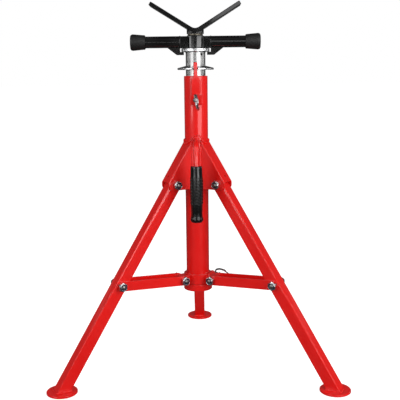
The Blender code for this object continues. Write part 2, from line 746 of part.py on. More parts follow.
def make_leg(side):
    """Square tube leg with a round foot; the frame's origin is the pivot."""
    frame = add_frame("leg_frame_" + side, radial(LEG_AZIMUTHS[side]) * PIVOT_RADIUS
                      + Z_AXIS * PIVOT_HEIGHT, LEG_AZIMUTHS[side])
    leg_frame = add_frame("leg_slope_" + side, (0, 0, 0), 0, frame)
    leg_frame.rotation_euler = (0, -LEG_ANGLE, 0)
    shape = bmesh.new()
    half = LEG_WIDTH / 2
    sections = []
    for inset, corner in ((0.0, LEG_CORNER), (LEG_WALL, LEG_CORNER - LEG_WALL)):
        outline = []
        middle = half - inset - corner
        for quarter in range(4):
            start = quarter * math.pi / 2
            spot = (
                middle * (1 if quarter in (0, 3) else -1),
                middle * (1 if quarter in (0, 1) else -1),
            )
            for step in range(3):
                angle = start + step * math.pi / 4
                outline.append((spot[0] + corner * math.cos(angle), spot[1] + corner * math.sin(angle)))
        sections.append(outline)
    rings = []
    for outline in sections:
        top = [shape.verts.new((out, aside, LEG_HEAD)) for out, aside in outline]
        bottom = [
            shape.verts.new((out, aside, -out * math.tan(LEG_ANGLE) - LEG_LENGTH)) for out, aside in outline
        ]
        rings += [top, bottom]
    outer_top, outer_bottom, inner_top, inner_bottom = rings
    count = len(outer_top)
    for first, second in (
        (outer_top, outer_bottom),
        (outer_bottom, inner_bottom),
        (inner_bottom, inner_top),
        (inner_top, outer_top),
    ):
        for step in range(count):
            after = (step + 1) % count
            shape.faces.new([first[step], first[after], second[after], second[step]])
    leg = add_object("leg_" + side, shape, red_paint, leg_frame)
    across = 2 * (half + OVERRUN)
    for label, down in (("pivot", 0.0), ("brace", BRACE_BELOW_PIVOT)):
        cut(
            leg,
            "leg_bore_" + label + "_" + side,
            rod_shape(BOLT_HOLE / 2, -across / 2, across),
            leg_frame,
            direction=Y_AXIS,
            origin=(0, 0, -down),
        )
    chamfer = [
        (half - LEG_HEAD_CHAMFER - OVERRUN, LEG_HEAD + OVERRUN),
        (half + OVERRUN, LEG_HEAD - LEG_HEAD_CHAMFER - OVERRUN),
        (half + OVERRUN, LEG_HEAD + OVERRUN),
    ]
    cut(leg, "leg_head_chamfer_" + side, extrude_outline(chamfer, across / 2), leg_frame)
    profile = [
        (0, 0),
        (FOOT_OUTER / 2 - FOOT_EDGE, 0),
        (FOOT_OUTER / 2, FOOT_EDGE),
        (FOOT_OUTER / 2, FOOT_THICKNESS - FOOT_EDGE),
        (FOOT_OUTER / 2 - FOOT_EDGE, FOOT_THICKNESS),
        (0, FOOT_THICKNESS),
    ]
    foot = add_object("foot_disc_" + side, lathe(profile, TUBE_SIDES), red_paint, frame)
    foot.location = (FOOT_RADIUS_AT - PIVOT_RADIUS, 0, -PIVOT_HEIGHT)
    return leg, foot


def make_brace(side):
    """Channel that ties the leg to the collar; the frame's origin is the collar bolt."""
    frame = add_frame(
        "brace_frame_" + side,
        radial(LEG_AZIMUTHS[side]) * COLLAR_BOLT_RADIUS + Z_AXIS * COLLAR_MIDDLE,
        LEG_AZIMUTHS[side],
    )
    slope = add_frame("brace_slope_" + side, (0, 0, 0), 0, frame)
    slope.rotation_euler = (0, -BRACE_ANGLE, 0)
    radius = BRACE_HEIGHT / 2
    quarter = math.pi / 2
    outline = arc_points((BRACE_LENGTH, 0), radius, -quarter, quarter)
    outline += arc_points((0, 0), radius, quarter, 3 * quarter)
    brace = add_object(
        "brace_" + side, extrude_outline(outline, SHEET_OUTSIDE), red_paint, slope, smooth=False
    )
    web_start = BRACE_WEB_FROM_COLLAR_BOLT
    web_end = web_start + BRACE_WEB_LENGTH
    beyond = radius + OVERRUN
    floor = SHEET - radius
    room = [
        (-beyond, -beyond),
        (web_start, -beyond),
        (web_start, floor),
        (web_end, floor),
        (web_end, -beyond),
        (BRACE_LENGTH + beyond, -beyond),
        (BRACE_LENGTH + beyond, beyond),
        (-beyond, beyond),
    ]
    cut(brace, "brace_room_" + side, extrude_outline(room, SLOT_HALF), slope)
    for label, along in (("collar", 0.0), ("leg", BRACE_LENGTH)):
        cut(
            brace,
            "brace_bore_" + label + "_" + side,
            rod_shape(BOLT_HOLE / 2, -SHEET_OUTSIDE - OVERRUN, 2 * (SHEET_OUTSIDE + OVERRUN)),
            slope,
            direction=Y_AXIS,
            origin=(along, 0, 0),
        )
    towards_nut = Y_AXIS * NUT_SIDES[side]
    end = Vector((BRACE_LENGTH, 0, 0))
    seat = SHEET_OUTSIDE + FIT_GAP
    bolt = add_object("leg_end_" + side + "_bolt", bolt_shape(0, SHEET, tip=False), zinc_plate, slope)
    point_along(bolt, towards_nut, end - towards_nut * seat)
    nut = add_object("leg_end_" + side + "_nut", nut_shape(stub=SHEET), zinc_plate, slope)
    point_along(nut, towards_nut, end + towards_nut * seat)
    return brace


def make_collar():
    """Collar that slides on the main tube, with a lug for each brace."""
    profile = tube_profile(
        COLLAR_RADIUS, TUBE_RADIUS + RUNNING_GAP, COLLAR_BOTTOM, COLLAR_BOTTOM + COLLAR_HEIGHT, COLLAR_EDGE
    )
    collar = add_object("slide_collar", lathe(profile, TUBE_SIDES, closed=True), red_paint)
    cut(
        collar,
        "collar_pin_bore",
        rod_shape(COLLAR_PIN_HOLE / 2, TUBE_RADIUS / 2, COLLAR_RADIUS),
        direction=radial(COLLAR_PIN_AZIMUTH),
        origin=(0, 0, COLLAR_MIDDLE),
    )
    for side, azimuth in LEG_AZIMUTHS.items():
        frame = add_frame("lug_frame_" + side, (0, 0, COLLAR_MIDDLE), azimuth)
        quarter = math.pi / 2
        outline = [(TUBE_RADIUS / 2, -LUG_RADIUS)]
        outline += arc_points((COLLAR_BOLT_RADIUS, 0), LUG_RADIUS, -quarter, quarter)
        outline += [(TUBE_RADIUS / 2, LUG_RADIUS)]
        lug = add_object(
            "collar_lug_" + side,
            extrude_outline(outline, SLOT_HALF - LUG_SIDE_GAP),
            red_paint,
            frame,
            smooth=False,
        )
        cut(
            lug,
            "lug_cope_" + side,
            rod_shape(COLLAR_RADIUS + FIT_GAP, -COLLAR_HEIGHT, 2 * COLLAR_HEIGHT, TUBE_SIDES),
            frame,
        )
        cut(
            lug,
            "lug_bore_" + side,
            rod_shape(BOLT_HOLE / 2, -SHEET_OUTSIDE, 2 * SHEET_OUTSIDE),
            frame,
            direction=Y_AXIS,
            origin=(COLLAR_BOLT_RADIUS, 0, 0),
        )
        add_through_bolt(
            "collar_end_" + side, frame, (COLLAR_BOLT_RADIUS, 0, 0), SHEET_OUTSIDE, NUT_SIDES[side]
        )
    boss = add_object(
        "collar_pin_boss",
        lathe(
            tube_profile(
                COLLAR_PIN_BOSS_OUTER / 2,
                COLLAR_PIN_HOLE / 2,
                TUBE_RADIUS + OVERRUN,
                COLLAR_RADIUS + COLLAR_PIN_BOSS_LENGTH,
                COLLAR_EDGE,
            ),
            closed=True,
        ),
        red_paint,
    )
    point_along(boss, radial(COLLAR_PIN_AZIMUTH), (0, 0, COLLAR_MIDDLE))
    cut(
        boss,
        "collar_boss_cope",
        rod_shape(COLLAR_RADIUS + FIT_GAP, COLLAR_MIDDLE - COLLAR_HEIGHT, 2 * COLLAR_HEIGHT, TUBE_SIDES),
    )
    return collar


# Pins and their rings


def add_pin(name, azimuth, height, sizes):
    """Round pin along the azimuth with a thinner drilled stem at its outer end."""
    tip, shoulder, radius, stem_radius, stem, hole_in, chamfer = sizes
    end = shoulder + stem
    profile = [
        (0, tip),
        (radius - chamfer, tip),
        (radius, tip + chamfer),
        (radius, shoulder - chamfer),
        (radius - chamfer, shoulder),
        (stem_radius, shoulder),
        (stem_radius, end - chamfer),
        (stem_radius - chamfer, end),
        (0, end),
    ]
    pin = add_object(name, lathe(profile), zinc_plate)
    point_along(pin, radial(azimuth), (0, 0, height))
    return pin, end - hole_in


def add_ring(name, frame_name, azimuth, height, hole_at, sizes):
    """Split ring through a stem's cross hole; its frame's Z axis is the cross hole."""
    outer, wire, width, lean, turn, droop = sizes
    out = radial(azimuth)
    frame = add_frame(frame_name, out * hole_at + Z_AXIS * height)
    aside = Z_AXIS.cross(out)
    hole_axis = Z_AXIS * math.cos(lean) + aside * math.sin(lean)
    normal = hole_axis.cross(out)
    frame.rotation_euler = Matrix((out, normal, hole_axis)).transposed().to_euler()
    middle = (outer - wire) / 2
    shape = bmesh.new()
    rings = []
    for step in range(RING_STEPS):
        angle = math.tau * step / RING_STEPS
        spoke = Vector((math.cos(angle), 0, math.sin(angle)))
        ring = []
        for turn_step in range(WIRE_SIDES):
            around = math.tau * (turn_step + 1 / 2) / WIRE_SIDES
            reach = middle + wire / 2 * math.cos(around)
            offset = spoke * reach + Y_AXIS * (width / 2 * math.sin(around))
            ring.append(shape.verts.new(offset + X_AXIS * middle))
        rings.append(ring)
    for step in range(RING_STEPS):
        here, there = rings[step], rings[(step + 1) % RING_STEPS]
        for side in range(WIRE_SIDES):
            after = (side + 1) % WIRE_SIDES
            shape.faces.new([here[side], here[after], there[after], there[side]])
    swing = Matrix.Rotation(turn, 3, "Z") @ Matrix.Rotation(droop, 3, "Y")
    bmesh.ops.rotate(shape, verts=shape.verts, cent=(0, 0, 0), matrix=swing)
    return add_object(name, shape, zinc_plate, frame), hole_axis


def cross_hole_radius(stem_radius, outer, wire, width, droop):
    """A cross hole that lets a ring of this section pass with its curve and its droop."""
    bow = stem_radius**2 / (outer - wire)
    section = math.hypot(wire / 2 + bow + stem_radius * math.tan(droop), width / 2)
    return section + FIT_GAP


def make_height_pin():
    tip = INNER_BORE - PIN_TIP_PAST_WALL
    shoulder = PIN_BOSS_ROOM - FIT_GAP - PIN_DRAW
    stem = PIN_BOSS_FRONT + PIN_STEM_PROUD - shoulder
    stem_radius = PIN_STEM_OUTER / 2
    hole_radius = cross_hole_radius(stem_radius, RING_OUTER, RING_WIRE, RING_WIDTH, RING_DROOP)
    sizes = (tip, shoulder, PIN_OUTER / 2, stem_radius, stem, PIN_HOLE_FROM_END, PIN_CHAMFER)
    pin, hole_at = add_pin("height_pin", FRONT, PIN_HEIGHT, sizes)
    ring_sizes = (RING_OUTER, RING_WIRE, RING_WIDTH, RING_LEAN, RING_TURN, RING_DROOP)
    ring, hole_axis = add_ring(
        "height_pin_ring", "height_ring_frame", FRONT, PIN_HEIGHT, hole_at, ring_sizes
    )
    cut(
        pin,
        "height_pin_cross_hole",
        rod_shape(hole_radius, -PIN_OUTER, 2 * PIN_OUTER),
        direction=hole_axis,
        origin=radial(FRONT) * hole_at + Z_AXIS * PIN_HEIGHT,
    )
    return pin, ring


def make_collar_pin():
    tip = TUBE_RADIUS + FIT_GAP
    shoulder = COLLAR_RADIUS + COLLAR_PIN_BOSS_LENGTH + COLLAR_PIN_DRAW + FIT_GAP
    stem_radius = COLLAR_PIN_STEM_OUTER / 2
    hole_radius = cross_hole_radius(
        stem_radius, COLLAR_RING_OUTER, COLLAR_RING_WIRE, COLLAR_RING_WIDTH, 0.0
    )
    sizes = (
        tip, shoulder, COLLAR_PIN_OUTER / 2, stem_radius, COLLAR_PIN_STEM_LENGTH,
        COLLAR_PIN_HOLE_FROM_END, COLLAR_PIN_CHAMFER,
    )
    pin, hole_at = add_pin("collar_pin", COLLAR_PIN_AZIMUTH, COLLAR_MIDDLE, sizes)
    ring_sizes = (
        COLLAR_RING_OUTER, COLLAR_RING_WIRE, COLLAR_RING_WIDTH, COLLAR_RING_LEAN, COLLAR_RING_TURN, 0.0
    )
    ring, hole_axis = add_ring(
        "collar_pin_ring", "collar_ring_frame", COLLAR_PIN_AZIMUTH, COLLAR_MIDDLE, hole_at, ring_sizes
    )
    cut(
        pin,
        "collar_pin_cross_hole",
        rod_shape(hole_radius, -COLLAR_PIN_OUTER, 2 * COLLAR_PIN_OUTER),
        direction=hole_axis,
        origin=radial(COLLAR_PIN_AZIMUTH) * hole_at + Z_AXIS * COLLAR_MIDDLE,
    )
    return pin, ring


# Inner tube and what rides on it


def make_inner_tube():
    shape = lathe(
        tube_profile(INNER_RADIUS, INNER_BORE, INNER_BOTTOM, INNER_TOP, TUBE_EDGE),
        TUBE_SIDES,
        closed=True,
    )
    tube = add_object("inner_tube", shape, zinc_plate)
    reach = INNER_WALL + 2 * OVERRUN
    for number in range(HOLE_COUNT):
        cut(
            tube,
            "inner_tube_hole_" + str(number + 1),
            rod_shape(PIN_HOLE / 2, INNER_BORE - OVERRUN, reach),
            direction=radial(FRONT),
            origin=(0, 0, PIN_HEIGHT - number * HOLE_PITCH),
        )
    set_height = FLANGE_BOTTOM - SET_SCREW_BELOW_FLANGE
    cut(
        tube,
        "inner_tube_set_screw_hole",
        rod_shape(SET_SCREW_OUTER / 2 + FIT_GAP, INNER_BORE - OVERRUN, reach),
        direction=radial(SET_SCREW_AZIMUTH),
        origin=(0, 0, set_height),
    )
    flange_profile = tube_profile(
        FLANGE_OUTER / 2, INNER_RADIUS + FIT_GAP, FLANGE_BOTTOM, FLANGE_TOP, FLANGE_EDGE
    )
    add_object("tube_flange", lathe(flange_profile, TUBE_SIDES, closed=True), zinc_plate)
    root, rim = INNER_RADIUS + FIT_GAP, DISC_OUTER / 2
    rim_bottom, rim_top = DISC_BOTTOM - DISC_DISH, DISC_TOP - DISC_DISH
    disc_profile = [
        (root, DISC_BOTTOM),
        (rim - DISC_EDGE, rim_bottom),
        (rim, rim_bottom + DISC_EDGE),
        (rim, rim_top - DISC_EDGE),
        (rim - DISC_EDGE, rim_top),
        (root, DISC_TOP),
    ]
    disc = add_object("notched_disc", lathe(disc_profile, TUBE_SIDES, closed=True), zinc_plate)
    half_notch = KEY_TONGUE_WIDTH / 2 + DISC_NOTCH_CLEARANCE
    cut(
        disc,
        "disc_notch",
        box_shape(
            (-half_notch, -DISC_OUTER, rim_bottom - OVERRUN),
            (half_notch, -KEY_BACK + FIT_GAP + RUNNING_GAP, DISC_TOP + OVERRUN),
        ),
    )
    tip = SCREW_RADIUS - KEYWAY_DEPTH + FIT_GAP
    end = INNER_RADIUS + SET_SCREW_PROUD
    screw = add_object(
        "set_screw",
        lathe(
            [
                (0, tip),
                (SET_SCREW_OUTER / 2, tip),
                (SET_SCREW_OUTER / 2, end),
                (SET_SCREW_OUTER / 4, end),
                (SET_SCREW_OUTER / 4, end - INNER_WALL / 2),
                (0, end - INNER_WALL / 2),
            ],
            SET_SCREW_SIDES,
        ),
        bare_steel,
    )
    point_along(screw, radial(SET_SCREW_AZIMUTH), (0, 0, set_height))
    return tube


def make_lifting_screw():
    """Lifting screw with its keyway and a guide collar at its foot."""
    chamfer = SCREW_CHAMFER
    guide = SCREW_GUIDE_OUTER / 2
    shoulder = SCREW_BOTTOM + SCREW_GUIDE_HEIGHT
    profile = [
        (0, SCREW_BOTTOM),
        (guide - chamfer, SCREW_BOTTOM),
        (guide, SCREW_BOTTOM + chamfer),
        (guide, shoulder),
        (SCREW_RADIUS, shoulder),
        (SCREW_RADIUS, SCREW_TOP - chamfer),
        (SCREW_RADIUS - chamfer, SCREW_TOP),
        (0, SCREW_TOP),
    ]
    screw = add_object("lifting_screw", lathe(profile, ARM_SIDES), bare_steel)
    keyway = box_shape(
        (SCREW_RADIUS - KEYWAY_DEPTH, -KEYWAY_WIDTH / 2, shoulder),
        (SCREW_RADIUS + OVERRUN, KEYWAY_WIDTH / 2, SCREW_TOP + OVERRUN),
    )
    cutter = cut(screw, "screw_keyway", keyway)
    cutter.rotation_euler = (0, 0, SET_SCREW_AZIMUTH)
    return screw


# Handle


def make_handle():
    hub_profile = tube_profile(HUB_OUTER / 2, SCREW_BORE / 2, HUB_BOTTOM, HUB_TOP, HUB_EDGE)
    add_object("handle_hub", lathe(hub_profile, TUBE_SIDES, closed=True), black_paint)
    hook_top = FLANGE_BOTTOM - HOOK_CLEARANCE
    hook_bottom = hook_top - HOOK_DEPTH
    underside = HUB_BOTTOM + FIT_GAP
    plate_top = ARM_HEIGHT + ARM_RADIUS - GUSSET_TOP_INSET
    arm_bottom = ARM_HEIGHT - ARM_RADIUS
    outline = [
        (HUB_OUTER / 4, underside),
        (HOOK_SLOT_END, underside),
        (HOOK_SLOT_END, hook_top),
        (HOOK_INNER, hook_top),
        (HOOK_INNER, hook_bottom),
        (GUSSET_TOE, hook_bottom),
        (GUSSET_REACH, arm_bottom),
        (GUSSET_REACH, plate_top),
        (HUB_OUTER / 4, plate_top),
    ]
    for side, azimuth in (("right", 0.0), ("left", math.pi)):
        frame = add_frame("handle_frame_" + side, (0, 0, 0), azimuth)
        gusset = add_object(
            "handle_gusset_" + side,
            extrude_outline(outline, GUSSET_THICKNESS / 2),
            black_paint,
            frame,
            smooth=False,
        )
        cut(
            gusset,
            "gusset_cope_" + side,
            rod_shape(HUB_OUTER / 2 + FIT_GAP, underside - OVERRUN, HUB_HEIGHT + 2 * OVERRUN, TUBE_SIDES),
            frame,
        )
        arm_profile = tube_profile(ARM_RADIUS, ARM_RADIUS - ARM_WALL, ARM_START, ARM_END)
        arm = add_object(
            "handle_arm_" + side, lathe(arm_profile, ARM_SIDES, closed=True), black_paint, frame
        )
        point_along(arm, X_AXIS, (0, 0, ARM_HEIGHT))
        slot_half = GUSSET_THICKNESS / 2 + FIT_GAP
        cut(
            arm,
            "arm_slot_" + side,
            box_shape(
                (ARM_START - OVERRUN, -slot_half, ARM_HEIGHT - ARM_OUTER),
                (GUSSET_REACH + FIT_GAP, slot_half, ARM_HEIGHT + ARM_OUTER),
            ),
            frame,
        )
        bore = ARM_RADIUS + FIT_GAP
        lip = CAP_END - CAP_LIP_INSET
        floor = ARM_END + FIT_GAP
        cap_profile = [
            (0, CAP_END),
            (CAP_LIP_OUTER / 2 - CAP_CHAMFER, CAP_END),
            (CAP_LIP_OUTER / 2 - CAP_RIM, CAP_END - CAP_RIM),
            (CAP_LIP_OUTER / 2, lip),
            (CAP_INNER_OUTER / 2, CAP_START + CAP_RIM),
            (CAP_INNER_OUTER / 2 - CAP_RIM / 2, CAP_START),
            (bore, CAP_START),
            (bore, floor),
            (0, floor),
        ]
        cap = add_object("handle_cap_" + side, lathe(cap_profile, ARM_SIDES), black_rubber, frame)
        point_along(cap, X_AXIS, (0, 0, ARM_HEIGHT))
    washer_profile = tube_profile(THRUST_WASHER_OUTER / 2, SCREW_BORE / 2, WASHER_BOTTOM, WASHER_TOP)
    add_object("thrust_washer", lathe(washer_profile, ARM_SIDES, closed=True), bronze)


# Head


def v_outline(gap=0.0):
    """The bent bar's section, grown by a gap all round below and inside."""
    inner = V_INNER_RADIUS - gap
    outer = V_INNER_RADIUS + V_THICKNESS + gap
    centre = (0.0, V_BOTTOM + V_INNER_RADIUS)
    down = -math.pi / 2
    sweep = arc_points(centre, inner, down + V_ANGLE, down - V_ANGLE)
    back = arc_points(centre, outer, down - V_ANGLE, down + V_ANGLE)
    start = V_INNER_RADIUS * math.sin(V_ANGLE)
    run = (V_ARM_REACH - start) / math.cos(V_ANGLE) + gap
    along = (math.cos(V_ANGLE), math.sin(V_ANGLE))
    right_in, right_out = sweep[0], back[-1]
    left_in, left_out = sweep[-1], back[0]
    inner_tip = (right_in[0] + run * along[0], right_in[1] + run * along[1])
    outer_tip = (right_out[0] + run * along[0], right_out[1] + run * along[1])
    left_inner_tip = (left_in[0] - run * along[0], left_in[1] + run * along[1])
    left_outer_tip = (left_out[0] - run * along[0], left_out[1] + run * along[1])
    return [inner_tip] + sweep + [left_inner_tip, left_outer_tip] + back + [outer_tip]


def make_head():
    saddle = add_object(
        "v_saddle", extrude_outline(v_outline(), V_DEPTH / 2), black_paint, smooth=False
    )
    bevel_sharp_edges(saddle, V_EDGE)
    top = V_BOTTOM + BOSS_OUTER / 2
    boss_profile = tube_profile(BOSS_OUTER / 2, SCREW_RADIUS + FIT_GAP, BOSS_BOTTOM, top)
    boss = add_object("v_boss", lathe(boss_profile, TUBE_SIDES, closed=True), black_paint)
    low = v_outline(FIT_GAP)
    lid = V_BOTTOM + V_ARM_REACH
    # Only the underside of the bar shapes the boss, so the cutter's top is squared off above it
    inner_count = len(arc_points((0, 0), 1, 0, 2 * V_ANGLE)) + 2
    under = low[inner_count:]
    outline = under + [(under[-1][0], lid), (under[0][0], lid)]
    cut(boss, "boss_saddle_cut", extrude_outline(outline, BOSS_OUTER))
    return saddle, boss


def set_on_floor():
    """Stand everything that has no frame of its own on one frame at the main tube's axis."""
    loose = [item for item in bpy.data.objects if item.parent is None]
    stand = add_frame("stand_frame", (0, TUBE_AXIS_DEPTH, 0))
    for item in loose:
        item.parent = stand


def make_stand():
    clear_scene()
    make_main_tube()
    make_stop_ring()
    make_key_plate()
    make_pin_boss()
    for side, azimuth in LEG_AZIMUTHS.items():
        make_leg_bracket(side)
        frame = add_frame("pivot_frame_" + side, (0, 0, 0), azimuth)
        add_through_bolt(
            "pivot_" + side, frame, (PIVOT_RADIUS, 0, PIVOT_HEIGHT), SHEET_OUTSIDE, NUT_SIDES[side]
        )
        make_leg(side)
        make_brace(side)
    make_carry_handle()
    make_collar()
    make_height_pin()
    make_collar_pin()
    make_inner_tube()
    make_lifting_screw()
    make_handle()
    make_head()
    set_on_floor()
    bpy.context.view_layer.update()


make_stand()
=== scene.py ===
# %% [markdown]
# # A folding stand for pipe, dressed for its picture
# The stand holds up the end of a pipe while someone works on it. A red main tube stands on three
# folding legs. A zinc-plated tube slides in it and is pinned at one of seven holes. On top, a
# two-armed handle turns on a flange and raises a screw with a V head. The CAD model gives every
# part its true shape and place. This file keeps those parts, gives each one its finish, and adds
# what the CAD leaves out: threads, weld beads, split rings, the grip's tread and nylon rings.

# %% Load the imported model
import math

import bmesh
import bpy
from mathutils import Matrix, Vector, noise


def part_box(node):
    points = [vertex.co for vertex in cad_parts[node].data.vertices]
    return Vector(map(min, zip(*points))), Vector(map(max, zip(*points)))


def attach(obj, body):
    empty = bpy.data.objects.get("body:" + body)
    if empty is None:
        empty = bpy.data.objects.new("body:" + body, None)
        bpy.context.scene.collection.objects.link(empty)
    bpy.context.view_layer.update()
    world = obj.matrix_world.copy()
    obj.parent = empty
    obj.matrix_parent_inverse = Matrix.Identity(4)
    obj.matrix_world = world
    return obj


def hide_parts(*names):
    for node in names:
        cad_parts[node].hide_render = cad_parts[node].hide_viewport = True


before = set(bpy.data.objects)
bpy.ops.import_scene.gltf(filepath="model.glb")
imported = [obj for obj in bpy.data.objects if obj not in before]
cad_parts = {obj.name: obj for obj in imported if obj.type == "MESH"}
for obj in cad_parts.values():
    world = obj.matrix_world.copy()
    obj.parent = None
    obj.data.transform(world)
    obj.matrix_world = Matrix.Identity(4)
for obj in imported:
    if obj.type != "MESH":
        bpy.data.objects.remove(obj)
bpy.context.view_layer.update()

tube_low, tube_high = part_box("main_tube")
AXIS = Vector(((tube_low.x + tube_high.x) / 2, (tube_low.y + tube_high.y) / 2, 0))
print("main tube's axis stands at", tuple(round(value, 4) for value in AXIS))

# %% [markdown]
# ## Smooth surfaces on the CAD parts
# The CAD parts arrive as flat triangles that don't share corners, so a round tube would show its
# facets. A Geometry Nodes modifier merges the corners, drops the stored normals and shades
# everything smooth but the edges that turn by more than 32 degrees. Plain smooth shading would
# bend the light across a flat face that ends in a rounded fold, so a Weighted Normal modifier
# lets the largest face at each corner decide.

# %% One way to add a node to any tree
def feed(tree, node, inputs):
    """Give each input a value or another node's output."""
    for key, value in inputs.items():
        if isinstance(value, bpy.types.NodeSocket):
            tree.links.new(value, node.inputs[key])
        else:
            node.inputs[key].default_value = value


def add_node(tree, kind, inputs=None, **settings):
    """A new node with plain settings, such as operation or mode, and fed inputs."""
    node = tree.nodes.new(kind)
    for key, value in settings.items():
        setattr(node, key, value)
    feed(tree, node, inputs or {})
    return node


# %% Smoothing modifier for the CAD parts
MERGE_DISTANCE = 0.000002
SHARP_TURN = math.radians(32)


def build_smoother():
    """One node group that every CAD part shares."""
    group = bpy.data.node_groups.new("smooth_cad_surface", "GeometryNodeTree")
    for way in ("INPUT", "OUTPUT"):
        group.interface.new_socket("Geometry", in_out=way, socket_type="NodeSocketGeometry")
    start = add_node(group, "NodeGroupInput").outputs[0]
    merge = add_node(
        group, "GeometryNodeMergeByDistance", {"Geometry": start, "Distance": MERGE_DISTANCE}
    )
    turn = add_node(group, "GeometryNodeInputMeshEdgeAngle").outputs["Unsigned Angle"]
    sharp = add_node(
        group, "FunctionNodeCompare", {0: turn, 1: SHARP_TURN}, operation="GREATER_THAN"
    )
    surface = {"Mesh": merge.outputs["Geometry"], "Edge Sharpness": sharp.outputs[0]}
    surface["Remove Custom"] = True
    normals = add_node(group, "GeometryNodeSetMeshNormal", surface, mode="SHARPNESS")
    add_node(group, "NodeGroupOutput", {0: normals.outputs["Mesh"]})
    return group


def keep_flats_flat(piece):
    """Let large faces decide the shading at their corners."""
    even = piece.modifiers.new("flat faces stay flat", "WEIGHTED_NORMAL")
    even.weight = 100
    even.keep_sharp = True


smoother = build_smoother()
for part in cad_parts.values():
    part.modifiers.new("smooth surface", "NODES").node_group = smoother
    keep_flats_flat(part)
print("smoothed", len(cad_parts), "CAD parts")

# %% [markdown]
# ## Building blocks for finishes
# Each finish is a node tree on the Principled shader. Four things make a surface believable: its
# colour drifts a little, its gloss is uneven, its skin has a fine relief, and its edges are soft.

# %% Helpers for colour and noise
def start_finish(name):
    """A new material, its node tree and its Principled shader."""
    material = bpy.data.materials.new(name)
    material.use_nodes = True
    tree = material.node_tree
    print("finish:", name)
    return material, tree, tree.nodes["Principled BSDF"]


def spots(tree, scale, detail=2.0, stretch=(1, 1, 1), distortion=0.0):
    """Noise in the part's own coordinates, scale in lumps to the metre."""
    place = add_node(tree, "ShaderNodeTexCoord").outputs["Object"]
    mapping = add_node(tree, "ShaderNodeMapping", {"Vector": place, "Scale": stretch})
    cloud = {"Vector": mapping.outputs["Vector"], "Scale": scale}
    cloud.update({"Detail": detail, "Distortion": distortion})
    return add_node(tree, "ShaderNodeTexNoise", cloud).outputs["Fac"]


def spread(tree, source, low, high, start=0.35, end=0.65):
    """Map a 0 to 1 signal onto a range of values."""
    ranges = {"From Min": start, "From Max": end, "To Min": low, "To Max": high}
    return add_node(tree, "ShaderNodeMapRange", {"Value": source, **ranges}).outputs["Result"]


def blend_colours(tree, factor, first, second):
    """Drift between two colours, each a tuple or another node's output."""
    ends = [(*end, 1) if isinstance(end, tuple) else end for end in (first, second)]
    colours = {"Factor": factor, 6: ends[0], 7: ends[1]}
    return add_node(tree, "ShaderNodeMix", colours, data_type="RGBA").outputs[2]


# %% Helpers for edges and relief
BEVEL_SAMPLES = 6


def soft_edges(tree, radius):
    """Round every edge in the shading by a radius, with no change to the mesh."""
    bevel = add_node(tree, "ShaderNodeBevel", {"Radius": radius}, samples=BEVEL_SAMPLES)
    return bevel.outputs["Normal"]


def edge_mask(tree, rounded):
    """Bright along edges: how far the rounded normal leans from the true one."""
    plain = add_node(tree, "ShaderNodeNewGeometry").outputs["Normal"]
    lean = add_node(tree, "ShaderNodeVectorMath", {0: rounded, 1: plain}, operation="DOT_PRODUCT")
    return spread(tree, lean.outputs["Value"], low=1.0, high=0.0, start=0.86, end=0.995)


def relief(tree, height, depth, strength, normal=None):
    """Turn a signal into a bump of a real depth in metres."""
    inputs = {"Height": height, "Distance": depth, "Strength": strength}
    if normal is not None:
        inputs["Normal"] = normal
    return add_node(tree, "ShaderNodeBump", inputs).outputs["Normal"]


# %% [markdown]
# ## Paint and rubber
# The main tube, legs, brackets and braces carry a glossy red powder coat. Up close it has a very
# shallow orange-peel relief about two millimetres across. It is rubbed a little darker at edges.
# A clear coat on the shader gives the crisp pale strips that the photo's lights leave on the tube.
#
# The V head, hub, arms and gussets are painted a glossy black. The caps on the arms are dull
# moulded rubber, and the grip is a shinier one. Black parts live from their reflections, so their
# base colours stay below 1 percent grey and only the gloss and relief differ. Their edges are
# painted a lighter grey in patches, partly as wear and partly as a painted highlight. One recipe
# makes all four.

# %% Recipe for paint and rubber
def make_coating(
    name, dark, light, worn_and_highlit, drift_scale, wear_and_highlight, wear_and_highlight_scale, rough, rough_scale,
    peel_scale, peel_detail, peel_depth, peel_strength, edge, coat, coat_rough, specular,
):
    """Drifting colour, patchy edges in an edge colour (worn on the red, worn and a painted
    highlight on the black), uneven gloss, a fine skin and a clear coat.
    """
    material, tree, shader = start_finish(name)
    base = blend_colours(tree, spread(tree, spots(tree, drift_scale, 3), 0, 1), dark, light)
    rounded = soft_edges(tree, edge)
    # Edges mix in patches towards the edge colour: darker wear on the red, and on the black a
    # lighter grey that is partly wear and partly a painted highlight.
    rub_and_highlight = {0: edge_mask(tree, rounded), 1: spread(tree, spots(tree, wear_and_highlight_scale, 4), *wear_and_highlight)}
    rubbed_and_highlit = add_node(tree, "ShaderNodeMath", rub_and_highlight, operation="MULTIPLY").outputs["Value"]
    peel = relief(tree, spots(tree, peel_scale, peel_detail), peel_depth, peel_strength, rounded)
    feed(tree, shader, {
        "Base Color": blend_colours(tree, rubbed_and_highlit, base, worn_and_highlit),
        "Roughness": spread(tree, spots(tree, rough_scale, 3), *rough),
        "Normal": peel,
        "Coat Normal": peel,
        "Specular IOR Level": specular,
        "Coat Weight": coat,
        "Coat Roughness": coat_rough,
    })
    return material


def grey(value):
    return (value, value, value)


def make_black(name, dark, light, wear_and_highlight, **settings):
    """A black coating whose edges show a multiple of its lighter grey: some wear and a painted
    highlight.
    """
    # The edge colour is lighter than the coat, so the edges carry a painted highlight as well as
    # wear.
    return make_coating(
        name, grey(dark), grey(light), worn_and_highlit=grey(wear_and_highlight * light), drift_scale=30,
        wear_and_highlight=(0.0, 0.7), wear_and_highlight_scale=210, rough_scale=70, peel_detail=2, peel_strength=0.6,
        specular=0.5, **settings,
    )


